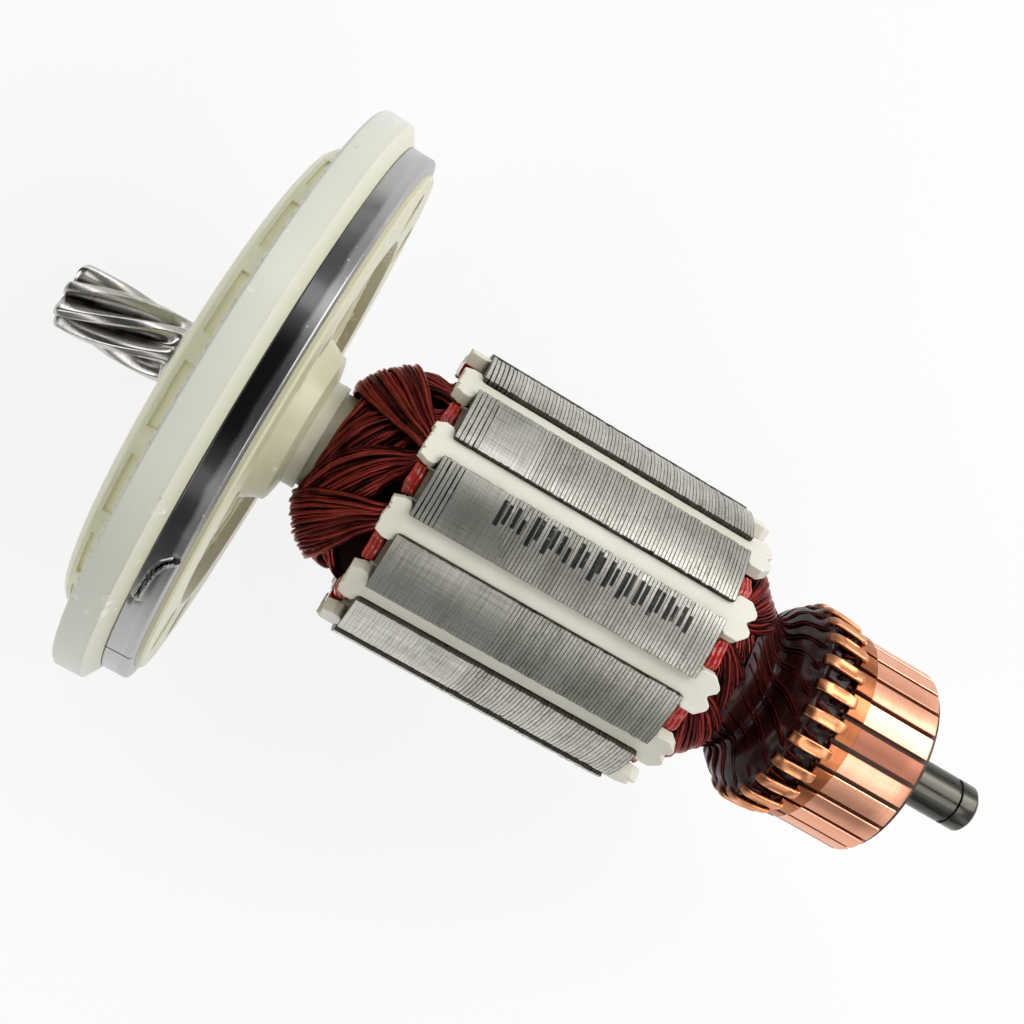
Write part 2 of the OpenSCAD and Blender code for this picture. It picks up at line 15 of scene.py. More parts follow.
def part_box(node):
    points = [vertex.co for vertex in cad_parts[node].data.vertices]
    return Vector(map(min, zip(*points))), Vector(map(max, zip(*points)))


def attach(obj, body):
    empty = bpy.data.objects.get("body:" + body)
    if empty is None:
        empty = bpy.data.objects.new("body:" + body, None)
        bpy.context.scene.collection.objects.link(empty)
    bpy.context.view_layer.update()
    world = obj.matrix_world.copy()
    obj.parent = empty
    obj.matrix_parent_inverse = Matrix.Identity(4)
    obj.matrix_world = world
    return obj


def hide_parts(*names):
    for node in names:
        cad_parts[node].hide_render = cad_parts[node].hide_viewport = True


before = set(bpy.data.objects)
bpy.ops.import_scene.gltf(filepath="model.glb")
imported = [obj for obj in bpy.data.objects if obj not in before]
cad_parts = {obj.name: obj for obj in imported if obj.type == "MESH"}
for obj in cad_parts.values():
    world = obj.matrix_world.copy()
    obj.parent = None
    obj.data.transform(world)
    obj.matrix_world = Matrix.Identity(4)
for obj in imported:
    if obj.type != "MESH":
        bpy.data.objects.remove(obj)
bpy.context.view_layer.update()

LOG = logging.getLogger("armature")
MM = 0.001
ROOT = "root"

WIRE_SIDES = 8  # Points round a wire's section
WELD_WITHIN = 0.002  # Points closer than this are joined before their edges are rounded
SHARP_EDGE = 40.0  # Only edges that turn more than this many degrees are rounded

Number = float | int
Colour = tuple[float, float, float]


# ---- Places along and round the shaft ------------------------------------------------


class End(Enum):
    """The two ends of the core, with the way each one faces."""

    DRIVE = -1
    COMMUTATOR = 1


def spot(x: float, r: float, angle: float) -> Vector:
    """A point from cylindrical measures about the shaft.

    Args:
        x: Station along the shaft in millimetres.
        r: Distance from the axis in millimetres.
        angle: Turn about the axis in degrees, 0 at +Z and positive towards -Y.

    Returns:
        The point in metres.
    """
    a = math.radians(angle)
    return Vector((x, -r * math.sin(a), r * math.cos(a))) * MM


@dataclass(frozen=True)
class Span:
    """The stations and the reach of one node of the frame, in millimetres."""

    start: float
    end: float
    radius: float

    @classmethod
    def of(cls, node: str) -> "Span":
        """Reads a node's box from the frame.

        Args:
            node: The node's name.

        Returns:
            Its span along the shaft and its greatest distance from the axis.
        """
        low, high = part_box(node)
        reach = max(abs(low[1]), abs(high[1]), abs(low[2]), abs(high[2]))
        return cls(low[0] / MM, high[0] / MM, reach / MM)

    @property
    def length(self) -> float:
        """Length along the shaft."""
        return self.end - self.start


# ---- Shader writing --------------------------------------------------------------------


class Wire:
    """A shader socket whose arithmetic adds Math nodes."""

    def __init__(self, shader: "Shader", socket: bpy.types.NodeSocket) -> None:
        """Wraps a socket of a shader."""
        self.shader = shader
        self.socket = socket

    def _math(self, operation: str, *values: "Wire | Number") -> "Wire":
        """Adds one Math node on the given values."""
        return self.shader.add("ShaderNodeMath", {"operation": operation}, dict(enumerate(values)))

    def __add__(self, other: "Wire | Number") -> "Wire":
        """Sum."""
        return self._math("ADD", self, other)

    __radd__ = __add__

    def __sub__(self, other: "Wire | Number") -> "Wire":
        """Difference."""
        return self._math("SUBTRACT", self, other)

    def __rsub__(self, other: "Wire | Number") -> "Wire":
        """Difference from a number."""
        return self._math("SUBTRACT", other, self)

    def __mul__(self, other: "Wire | Number") -> "Wire":
        """Product."""
        return self._math("MULTIPLY", self, other)

    __rmul__ = __mul__

    def __truediv__(self, other: "Wire | Number") -> "Wire":
        """Quotient."""
        return self._math("DIVIDE", self, other)

    def __pow__(self, other: "Wire | Number") -> "Wire":
        """Power."""
        return self._math("POWER", self, other)

    def __gt__(self, other: "Wire | Number") -> "Wire":
        """1 where greater."""
        return self._math("GREATER_THAN", self, other)

    def __lt__(self, other: "Wire | Number") -> "Wire":
        """1 where less."""
        return self._math("LESS_THAN", self, other)

    def unary(self, operation: str) -> "Wire":
        """Applies a Math operation of one value, such as FLOOR, FRACT, ABSOLUTE or SINE."""
        return self._math(operation, self)

    def low(self, other: "Wire | Number") -> "Wire":
        """Lesser of two."""
        return self._math("MINIMUM", self, other)

    def high(self, other: "Wire | Number") -> "Wire":
        """Greater of two."""
        return self._math("MAXIMUM", self, other)

    def ramp(self, start: float, end: float) -> "Wire":
        """A smooth step.

        Args:
            start: Value where the result is 0.
            end: Value where the result is 1; it may lie below start.

        Returns:
            The stepped value.
        """
        settings = {"interpolation_type": "SMOOTHSTEP"}
        if end > start:
            return self.shader.add("ShaderNodeMapRange", settings,
                                   {"Value": self, "From Min": start, "From Max": end})
        flipped = self.shader.add("ShaderNodeMapRange", settings,
                                  {"Value": self, "From Min": end, "From Max": start})
        return 1 - flipped

    def near(self, centre: "Wire | Number", half: float, soft: float) -> "Wire":
        """1 within a distance of a value, fading to 0 over a soft edge."""
        return (self - centre).unary("ABSOLUTE").ramp(half + soft, half)


class Shader:
    """Writes one material's node tree."""

    def __init__(self, name: str, world: bool = False) -> None:
        """Makes an empty material with a Principled surface, or a world with a Background.

        Args:
            name: Its name.
            world: Whether to write a world.
        """
        self.material = (bpy.data.worlds if world else bpy.data.materials).new(name)
        self.material.use_nodes = True
        self.tree = self.material.node_tree
        self.tree.nodes.clear()
        ending, face = (("ShaderNodeOutputWorld", "ShaderNodeBackground") if world
                        else ("ShaderNodeOutputMaterial", "ShaderNodeBsdfPrincipled"))
        self.output = self.tree.nodes.new(ending)
        self.surface = self.tree.nodes.new(face)
        self.tree.links.new(self.surface.outputs[0], self.output.inputs["Surface"])

    def add(self, kind: str, settings: dict[str, object] | None = None,
            inputs: dict[str | int, object] | None = None, output: str | int = 0) -> Wire:
        """Adds a node.

        Args:
            kind: The node's type.
            settings: Its settings.
            inputs: Values or wires for its sockets, by name or index.
            output: The socket to return.

        Returns:
            The chosen output as a wire.
        """
        node = self.tree.nodes.new(kind)
        for key, value in (settings or {}).items():
            setattr(node, key, value)
        for key, value in (inputs or {}).items():
            self.feed(node.inputs[key], value)
        return Wire(self, node.outputs[output])

    def feed(self, socket: bpy.types.NodeSocket, value: object) -> None:
        """Sets a socket to a value or links a wire to it."""
        if isinstance(value, Wire):
            self.tree.links.new(value.socket, socket)
        elif isinstance(value, tuple) and len(value) == 3 and socket.type == "RGBA":
            socket.default_value = (*value, 1.0)
        else:
            socket.default_value = value

    def set(self, **values: object) -> None:
        """Feeds sockets of the surface; an underscore stands for a space in a name."""
        for key, value in values.items():
            self.feed(self.surface.inputs[key.replace("_", " ")], value)

    # Sources

    def place(self) -> Wire:
        """Object coordinates in millimetres."""
        raw = self.add("ShaderNodeTexCoord", output="Object")
        return self.add("ShaderNodeVectorMath", {"operation": "SCALE"}, {0: raw, "Scale": 1 / MM})

    def split(self, vector: Wire) -> tuple[Wire, Wire, Wire]:
        """The three parts of a vector."""
        first = self.add("ShaderNodeSeparateXYZ", inputs={0: vector})
        node = first.socket.node
        return first, Wire(self, node.outputs[1]), Wire(self, node.outputs[2])

    def polar(self) -> tuple[Wire, Wire, Wire]:
        """Station along the shaft, angle in degrees and radius, all about the shaft axis."""
        x, y, z = self.split(self.place())
        turn = (y * -1)._math("ARCTAN2", y * -1, z) * (180 / math.pi)
        return x, turn, (y * y + z * z) ** 0.5

    def pack(self, x: Wire | Number, y: Wire | Number, z: Wire | Number) -> Wire:
        """A vector from three values."""
        return self.add("ShaderNodeCombineXYZ", inputs={0: x, 1: y, 2: z})

    def noise(self, vector: Wire, scale: float, detail: float = 3.0, rough: float = 0.5) -> Wire:
        """Fractal noise, about 0.5 on average."""
        return self.add("ShaderNodeTexNoise", {}, {"Vector": vector, "Scale": scale, "Detail": detail,
                                                    "Roughness": rough})

    def cells(self, vector: Wire, scale: float) -> Wire:
        """Distance from the middles of scattered cells."""
        return self.add("ShaderNodeTexVoronoi", {}, {"Vector": vector, "Scale": scale}, "Distance")

    def dice(self, value: Wire) -> Wire:
        """A steady random number for a whole value."""
        return self.add("ShaderNodeTexWhiteNoise", {"noise_dimensions": "1D"}, {"W": value})

    def stored(self, name: str) -> Wire:
        """A value that the mesh stores under a name."""
        return self.add("ShaderNodeAttribute", {"attribute_name": name}, output="Fac")

    # Mixing

    def mix(self, base: Wire | Colour, over: Wire | Colour, amount: Wire | Number) -> Wire:
        """Mixes two colours; the node's colour sockets are its inputs 6 and 7 and its output 2."""
        return self.add("ShaderNodeMix", {"data_type": "RGBA"},
                        {0: amount, 6: self._rgba(base), 7: self._rgba(over)}, 2)

    @staticmethod
    def _rgba(value: Wire | Colour) -> Wire | tuple[float, float, float, float]:
        """A colour with its alpha."""
        return value if isinstance(value, Wire) else (*value, 1.0)

    def bump(self, height: Wire, depth_mm: float, strength: float) -> None:
        """Feeds a height to the surface's normal."""
        normal = self.add("ShaderNodeBump", {}, {"Height": height, "Distance": depth_mm * MM,
                                                 "Strength": strength})
        self.set(Normal=normal)


# ---- Mesh making -------------------------------------------------------------------------


class Shape:
    """Collects points and faces of one piece, with a stored tone for each point."""

    def __init__(self, seed: int = 1) -> None:
        """Starts empty, with its own steady random numbers."""
        self.points: list[Vector] = []
        self.faces: list[tuple[int, ...]] = []
        self.tones: list[float] = []
        self.tone = 0.5
        self.dice = random.Random(seed)

    def ring(self, points: Iterable[Vector]) -> range:
        """Adds a ring of points and returns their numbers."""
        start = len(self.points)
        self.points.extend(points)
        self.tones.extend([self.tone] * (len(self.points) - start))
        return range(start, len(self.points))

    def join(self, a: Sequence[int], b: Sequence[int], closed: bool = True) -> None:
        """Joins two rings of as many points with quads."""
        count = len(a)
        for k in range(count if closed else count - 1):
            n = (k + 1) % count
            self.faces.append((a[k], a[n], b[n], b[k]))

    def skin(self, rings: Sequence[Sequence[int]], caps: bool = True, loop: bool = False,
             closed: bool = True) -> None:
        """Joins rings in order.

        Args:
            rings: The rings' point numbers.
            caps: Whether the first and last ring are closed with a face.
            loop: Whether the last ring joins the first.
            closed: Whether each ring is a closed loop.
        """
        for a, b in zip(rings, rings[1:]):
            self.join(a, b, closed)
        if loop:
            self.join(rings[-1], rings[0], closed)
        elif caps:
            self.faces.append(tuple(reversed(rings[0])))
            self.faces.append(tuple(rings[-1]))

    def tube(self, path: Sequence[Vector], radius: float) -> None:
        """Sweeps a round section along a path and closes its ends.

        Args:
            path: Points in metres.
            radius: Radius in millimetres.
        """
        rings = []
        side = Vector((0.3, 0.5, 0.8))
        for j, here in enumerate(path):
            ahead = (path[min(j + 1, len(path) - 1)] - path[max(j - 1, 0)]).normalized()
            side = (side - ahead * side.dot(ahead)).normalized()
            up = ahead.cross(side)
            rings.append(self.ring(
                here + (side * math.cos(a) + up * math.sin(a)) * radius * MM
                for a in (math.tau * k / WIRE_SIDES for k in range(WIRE_SIDES))))
        self.skin(rings)

    def lathe(self, outline: Sequence[tuple[float, float]], segments: int, start: float = 0.0,
              span: float = 360.0,
              bend: Callable[[float, float, float], tuple[float, float]] | None = None) -> None:
        """Turns a closed outline about the shaft axis.

        Args:
            outline: Points as (station, radius) in millimetres.
            segments: Steps round the axis.
            start: First angle in degrees.
            span: Angle covered in degrees.
            bend: Optional change of (station, radius) at an angle.
        """
        whole = abs(span - 360.0) < 1e-6
        steps = segments if whole else segments + 1
        rings = []
        for k in range(steps):
            angle = start + span * k / segments
            row = [bend(x, r, angle) if bend else (x, r) for x, r in outline]
            rings.append(self.ring(spot(x, r, angle) for x, r in row))
        self.skin(rings, caps=not whole, loop=whole)

    def piece(self, name: str, material: bpy.types.Material, smooth: float) -> bpy.types.Object:
        """Makes the object.

        Args:
            name: The piece's name.
            material: Its finish.
            smooth: Edges sharper than this many degrees stay sharp; 0 leaves it faceted.

        Returns:
            The linked object.
        """
        mesh = bpy.data.meshes.new(name)
        mesh.from_pydata(self.points, [], self.faces)
        mesh.update()
        tone = mesh.attributes.new("tone", "FLOAT", "POINT")
        tone.data.foreach_set("value", self.tones)
        mesh.materials.append(material)
        if smooth:
            mesh.shade_smooth()
            mesh.set_sharp_from_angle(angle=math.radians(smooth))
        work = bmesh.new()
        work.from_mesh(mesh)
        bmesh.ops.recalc_face_normals(work, faces=work.faces)
        work.to_mesh(mesh)
        work.free()
        made = bpy.data.objects.new(name, mesh)
        bpy.context.scene.collection.objects.link(made)
        return made


def soften(piece: bpy.types.Object, width: float, segments: int = 3) -> None:
    """Rounds a piece's sharp edges with a bevel.

    Args:
        piece: The piece.
        width: Width of the rounding in millimetres.
        segments: Steps of the rounding.
    """
    weld = piece.modifiers.new("weld", "WELD")
    weld.merge_threshold = WELD_WITHIN * MM
    bevel = piece.modifiers.new("bevel", "BEVEL")
    bevel.width = width * MM
    bevel.segments = segments
    bevel.limit_method = "ANGLE"
    bevel.angle_limit = math.radians(SHARP_EDGE)


def course(points: Sequence[Sequence[float]], steps: int) -> list[tuple[float, ...]]:
    """A smooth curve through points of any size, by Catmull-Rom.

    Args:
        points: The points that the curve passes through.
        steps: Samples for each stretch.

    Returns:
        The samples, the last point included.
    """
    out = []
    last = len(points) - 1
    for i in range(last):
        p0, p1, p2, p3 = (points[max(i - 1, 0)], points[i], points[i + 1], points[min(i + 2, last)])
        for s in range(steps):
            t = s / steps
            out.append(tuple(
                0.5 * (2 * b + (c - a) * t + (2 * a - 5 * b + 4 * c - d) * t * t
                       + (3 * b - 3 * c + d - a) * t ** 3)
                for a, b, c, d in zip(p0, p1, p2, p3)))
    out.append(tuple(points[-1]))
    return out


def dress(node: str, material: bpy.types.Material) -> bpy.types.Object:
    """Gives a CAD node that stays in view its finish and returns its object."""
    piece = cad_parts[node]
    piece.data.materials.clear()
    piece.data.materials.append(material)
    return piece


def seat(piece: bpy.types.Object, slot: str, *nodes: str) -> None:
    """Fixes a new piece to the rotor.

    Args:
        piece: The piece.
        slot: The record's material slot; not used.
        nodes: CAD nodes that it stands for.
    """
    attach(piece, ROOT)
    if nodes:
        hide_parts(*nodes)
    LOG.info("made %s with %d faces", piece.name, len(piece.data.polygons))


# ---- Finishes ----------------------------------------------------------------------------


@dataclass(frozen=True)
class TurnedSteel:
    """Oily steel of the shaft: cut teeth with painted shade darkening their grooves, and ground plain ends.
    """

    bright: Colour = (0.60, 0.585, 0.55)
    dark: Colour = (0.085, 0.078, 0.068)
    journal: Colour = (0.075, 0.073, 0.062)
    journal_start: float = 100.0

    def material(self) -> bpy.types.Material:
        """Builds the material."""
        s = Shader("shaft_steel")
        x, turn, radius = s.polar()
        grain = s.noise(s.pack(x * 9, turn * 0.05, radius), 1.0, 4.0)
        cloud = s.noise(s.place(), 0.45, 4.0, 0.6)
        # The stored tone is the groove depth: the grooves are darkened as painted shade, and the cloud adds
        # real stains.
        depth = s.stored("tone")
        groove_shade_and_stain = (depth.ramp(0.35, 0.95) * 0.85 + cloud.ramp(0.50, 0.74) * 0.4).low(1.0)
        teeth = s.mix(self.bright, self.dark, groove_shade_and_stain)
        plain = s.mix(self.journal, self.dark, cloud.ramp(0.5, 0.8) * 0.5)
        s.set(Base_Color=s.mix(teeth, plain, x > self.journal_start), Metallic=1.0,
              Roughness=(grain - 0.5) * 0.2 + cloud * 0.2 + 0.12)
        s.bump(grain, 0.012, 0.5)
        return s.material


@dataclass(frozen=True)
class CoreSteel:
    """Edges of pressed electrical sheets, with a band that was ground smooth and rows of ink ticks."""

    ink_start: float
    bright: Colour = (0.68, 0.67, 0.61)
    dull: Colour = (0.25, 0.245, 0.20)
    # Painted shade: colour of the tooth sides, the sheet edges in the gaps and the end faces.
    painted_shade: Colour = (0.045, 0.035, 0.025)
    ink: Colour = (0.025, 0.022, 0.02)
    ink_pitch: float = 2.15
    ink_cells: int = 13

    def ticks(self, s: Shader, x: Wire, turn: Wire) -> Wire:
        """Mask of the inspector's ink ticks on one tooth.

        Args:
            s: The shader.
            x: Station along the shaft.
            turn: Angle in degrees.

        Returns:
            1 on ink.
        """
        run = (x - self.ink_start) / self.ink_pitch
        cell = run.unary("FLOOR")
        across = run.unary("FRACT")
        chance, other = s.dice(cell), s.dice(cell + 50.3)
        length = chance * 2.2 + 3.2
        stroke = across.near(chance * 0.2 + 0.24, 0.12, 0.05) * turn.near(other * 1.6 - 5.2, length, 0.3)
        second = across.near(0.74, 0.10, 0.05) * turn.near(chance * -3.0 - 2.9, other * 1.6 + 2.4, 0.3)
        inside = (run > 0) * (run < self.ink_cells)
        worn = s.noise(s.place(), 1.6, 3.0, 0.6).ramp(0.24, 0.40)
        return stroke.high(second) * inside * worn

    def material(self) -> bpy.types.Material:
        """Builds the material."""
        s = Shader("core_steel")
        x, turn, radius = s.polar()
        sheet = s.stored("tone")
        ground = s.stored("band")
        # Share of painted shade, stored per point: tooth sides, sheet edges in the gaps, and end faces.
        wall = s.stored("side")
        streak = s.noise(s.pack(x * 0.8, turn * 1.3, sheet * 40), 1.2, 3.0)
        across = s.noise(s.pack(x * 8.0, turn * 0.06, radius * 0), 1.0, 3.0, 0.6)
        along = s.noise(s.pack(x * 0.10, turn * 2.6, radius * 0 + 7), 1.0, 3.0, 0.6)
        weave = s.noise(s.pack(x * 2.6, turn * 1.6, radius * 0 + 3), 1.0, 2.0)
        hatch = (across.ramp(0.44, 0.62) * 0.6 + along.ramp(0.46, 0.62) * 0.6) * (weave * 0.9 + 0.45)
        rows = (streak.ramp(0.35, 0.75) * 0.4 + sheet * 0.35) * (1 - ground)
        dust = s.noise(s.place(), 0.16, 3.0).ramp(0.42, 0.68)
        shade = (rows + hatch * ground * 0.75 + dust * 0.28).low(1.0)
        tint = s.mix(s.mix(self.bright, self.dull, shade), self.painted_shade, wall)
        tint = s.mix(tint, self.ink, self.ticks(s, x, turn) * 0.93)
        s.set(Base_Color=tint, Metallic=1 - wall * 0.7,
              Roughness=streak * (1 - ground) * 0.14 + hatch * ground * 0.08 + wall * 0.3 + 0.30)
        s.bump(hatch * ground + streak * (1 - ground) * 0.4, 0.004, 0.4)
        return s.material


@dataclass(frozen=True)
class Moulding:
    """Plain moulded plastic with faint clouding."""

    name: str
    colour: Colour
    tinge: Colour
    roughness: float = 0.45
    grain: float = 0.02
    shine: float = 0.5

    def material(self) -> bpy.types.Material:
        """Builds the material."""
        s = Shader(self.name)
        cloud = s.noise(s.place(), 0.18, 4.0).ramp(0.35, 0.75)
        fine = s.noise(s.place(), 2.6, 3.0)
        s.set(Base_Color=s.mix(self.colour, self.tinge, cloud), Roughness=fine * 0.14 + self.roughness - 0.07,
              Specular_IOR_Level=self.shine)
        s.bump(fine, self.grain, 0.6)
        return s.material


@dataclass(frozen=True)
class FanPlastic:
    """Milky plastic of the fan: cool on the rim, darker and yellower towards the hub, with painted light in
    the thin flange windows.
    """

    rim_start: float
    flange_radius: float = 33.2
    rim: Colour = (0.70, 0.71, 0.615)
    flange: Colour = (0.86, 0.85, 0.63)
    hub: Colour = (0.60, 0.56, 0.37)
    # Painted light: a brighter colour for the flange windows, standing for light through thin plastic.
    thin: Colour = (0.93, 0.90, 0.66)
    dirt: Colour = (0.22, 0.20, 0.13)
    scuff: Colour = (0.90, 0.90, 0.84)

    def material(self) -> bpy.types.Material:
        """Builds the material."""
        s = Shader("fan_plastic")
        x, turn, radius = s.polar()
        cloud = s.noise(s.place(), 0.12, 4.0, 0.6)
        fine = s.noise(s.place(), 2.2, 3.0)
        body = s.mix(self.rim, self.flange, x.ramp(self.rim_start + 0.1, self.rim_start - 0.1))
        body = s.mix(body, self.hub, (x.ramp(self.rim_start + 2.5, self.rim_start + 6.5) * 0.9
                                      + (cloud - 0.5) * 0.4).low(1.0).high(0.0))
        # The flange windows get painted light.
        inner, outer = self.flange_radius - 1.2, self.flange_radius - 0.25
        painted_window_light = (x < self.rim_start - 0.3) * (radius < outer) * (radius > inner)
        body = s.mix(body, self.thin, painted_window_light * 0.9)
        broken = s.noise(s.pack(x, turn * 0.8, radius), 1.0, 4.0).ramp(0.5, 0.6)
        seam = x.near(self.rim_start + 0.12, 0.06, 0.05) * broken
        specks = s.cells(s.place(), 0.22).ramp(0.05, 0.03) * cloud.ramp(0.45, 0.6)
        body = s.mix(body, self.dirt, (seam * 0.4 + specks * 0.6).low(1.0))
        rubbed = s.noise(s.place(), 0.5, 4.0, 0.65).ramp(0.56, 0.64) * cloud.ramp(0.55, 0.65)
        body = s.mix(body, self.scuff, rubbed * 0.6)
        s.set(Base_Color=body, Roughness=fine * 0.12 + 0.26, Coat_Weight=0.15, Coat_Roughness=0.2)
        s.bump(fine * 0.6 + rubbed, 0.02, 0.5)
        return s.material


@dataclass(frozen=True)
class Enamel:
    """Dark red wire enamel under varnish."""

    name: str = "enamelled_wire"
    light: Colour = (0.27, 0.040, 0.034)
    deep: Colour = (0.014, 0.003, 0.003)
    sheen: Colour = (0.62, 0.30, 0.27)

    def material(self) -> bpy.types.Material:
        """Builds the material."""
        s = Shader(self.name)
        tone = s.stored("tone")
        blotch = s.noise(s.place(), 0.5, 3.0)
        body = s.mix(self.light, self.deep, tone.ramp(0.1, 0.9) * 0.8 + blotch.ramp(0.42, 0.72) * 0.35)
        s.set(Base_Color=body, Metallic=0.75, Roughness=blotch * 0.10 + 0.10, Specular_IOR_Level=0.4,
              Specular_Tint=(*self.sheen, 1.0))
        return s.material


@dataclass(frozen=True)
class Gloss:
    """Thick glossy varnish or resin."""

    name: str
    colour: Colour
    thin: Colour
    roughness: float = 0.1
    lumps: float = 0.05
    coat: float = 0.5
    shine: float = 0.5

    def material(self) -> bpy.types.Material:
        """Builds the material."""
        s = Shader(self.name)
        lump = s.noise(s.place(), 0.4, 2.0)
        s.set(Base_Color=s.mix(self.colour, self.thin, lump.ramp(0.5, 0.8)), Roughness=self.roughness,
              Coat_Weight=self.coat, Coat_Roughness=0.08, Specular_IOR_Level=self.shine)
        s.bump(lump, self.lumps, 0.8)
        return s.material


@dataclass(frozen=True)
class RingSteel:
    """Rolled strip steel: a dark mirror-like face with painted shade, greyed by painted light along its
    margin and by painted reflections on its sides.
    """

    start: float
    # Painted shade: the face's dark colour.
    dark: Colour = (0.10, 0.10, 0.105)
    grey: Colour = (0.50, 0.495, 0.49)
    speck: Colour = (0.7, 0.7, 0.68)

    def material(self) -> bpy.types.Material:
        """Builds the material."""
        s = Shader("ring_steel")
        x, turn, radius = s.polar()
        brush = s.noise(s.pack(x * 5, turn * 0.10, radius * 0), 1.0, 4.0, 0.6)
        cloud = s.noise(s.place(), 0.14, 3.0, 0.6)
        place = x - self.start + (cloud - 0.5) * 1.1
        # Painted light greys the margin along one edge; painted reflections grey the sides away from the top.
        painted_edge_light = place.ramp(1.7, 2.35)
        painted_side_reflection = (turn + (cloud - 0.5) * 14).unary("ABSOLUTE").ramp(22.0, 46.0)
        specks = s.cells(s.place(), 0.55).ramp(0.085, 0.04)
        lines = s.noise(s.pack(x * 0.6, turn * 3.5, radius * 0), 1.0, 3.0).ramp(0.66, 0.74)
        face = s.mix(self.dark, self.grey, (painted_edge_light * 0.5 + painted_side_reflection * 0.85 + lines * 0.25).low(1.0))
        s.set(Base_Color=s.mix(face, self.speck, specks * 0.7), Metallic=1.0,
              Roughness=brush * 0.12 + painted_edge_light * 0.14 + painted_side_reflection * 0.12 + specks * 0.2 + 0.08)
        s.bump(brush, 0.006, 0.5)
        return s.material


@dataclass(frozen=True)
class BarCopper:
    """Copper bars: brushed on the track, brown on the riser band, orange on the hooks."""

    riser_start: float
    track_start: float
    track: Colour = (0.93, 0.46, 0.30)
    worn: Colour = (0.70, 0.29, 0.17)
    orange: Colour = (0.76, 0.32, 0.15)
    brown: Colour = (0.42, 0.13, 0.05)
    burnt_and_shade: Colour = (0.10, 0.035, 0.018)
    painted_dark_reflection: Colour = (0.26, 0.085, 0.05)
    hook_level: float = 14.35

    def material(self) -> bpy.types.Material:
        """Builds the material."""
        s = Shader("bar_copper")
        x, turn, radius = s.polar()
        tone = s.stored("tone")
        on_track = x.ramp(self.track_start - 0.02, self.track_start + 0.12)
        lines = s.noise(s.pack(x * 6, turn * 0.02, radius * 0), 1.0, 4.0, 0.6)
        along = s.noise(s.pack(x * 0.25, turn * 1.6, radius * 0), 1.0, 3.0)
        cloud = s.noise(s.place(), 0.35, 3.0)
        wear = (lines.ramp(0.38, 0.72) * 0.35 + along.ramp(0.4, 0.7) * 0.35).low(1.0)
        track = s.mix(self.track, self.worn, wear)
        # Painted dark reflection on the first bar's track, keyed by its high stored tone.
        track = s.mix(track, self.painted_dark_reflection, tone.ramp(0.5, 0.9) * 0.8)
        riser = s.mix(self.brown, self.orange, cloud.ramp(0.35, 0.7) * 0.35)
        hook = s.mix(self.orange, self.brown, cloud.ramp(0.5, 0.75) * 0.6)
        raised = radius.ramp(self.hook_level - 0.15, self.hook_level + 0.15)
        stained = s.mix(riser, hook, raised)
        # Painted shade: the tangs and the hooks' undersides, below the hooks, take the dark colour.
        painted_shade = x.ramp(self.riser_start + 0.35, self.riser_start - 0.5) * radius.ramp(14.75, 14.2)
        front = x.ramp(self.riser_start - 3.9, self.riser_start - 5.3)
        stained = s.mix(stained, self.burnt_and_shade, (painted_shade + front * 0.75 + cloud.ramp(0.58, 0.72) * 0.3).low(1.0))
        s.set(Base_Color=s.mix(stained, track, on_track), Metallic=1.0,
              Roughness=lines * 0.14 + tone * 0.05 + 0.25)
        s.bump(lines * on_track + cloud * (1 - on_track), 0.010, 0.5)
        return s.material


# ---- Core --------------------------------------------------------------------------------


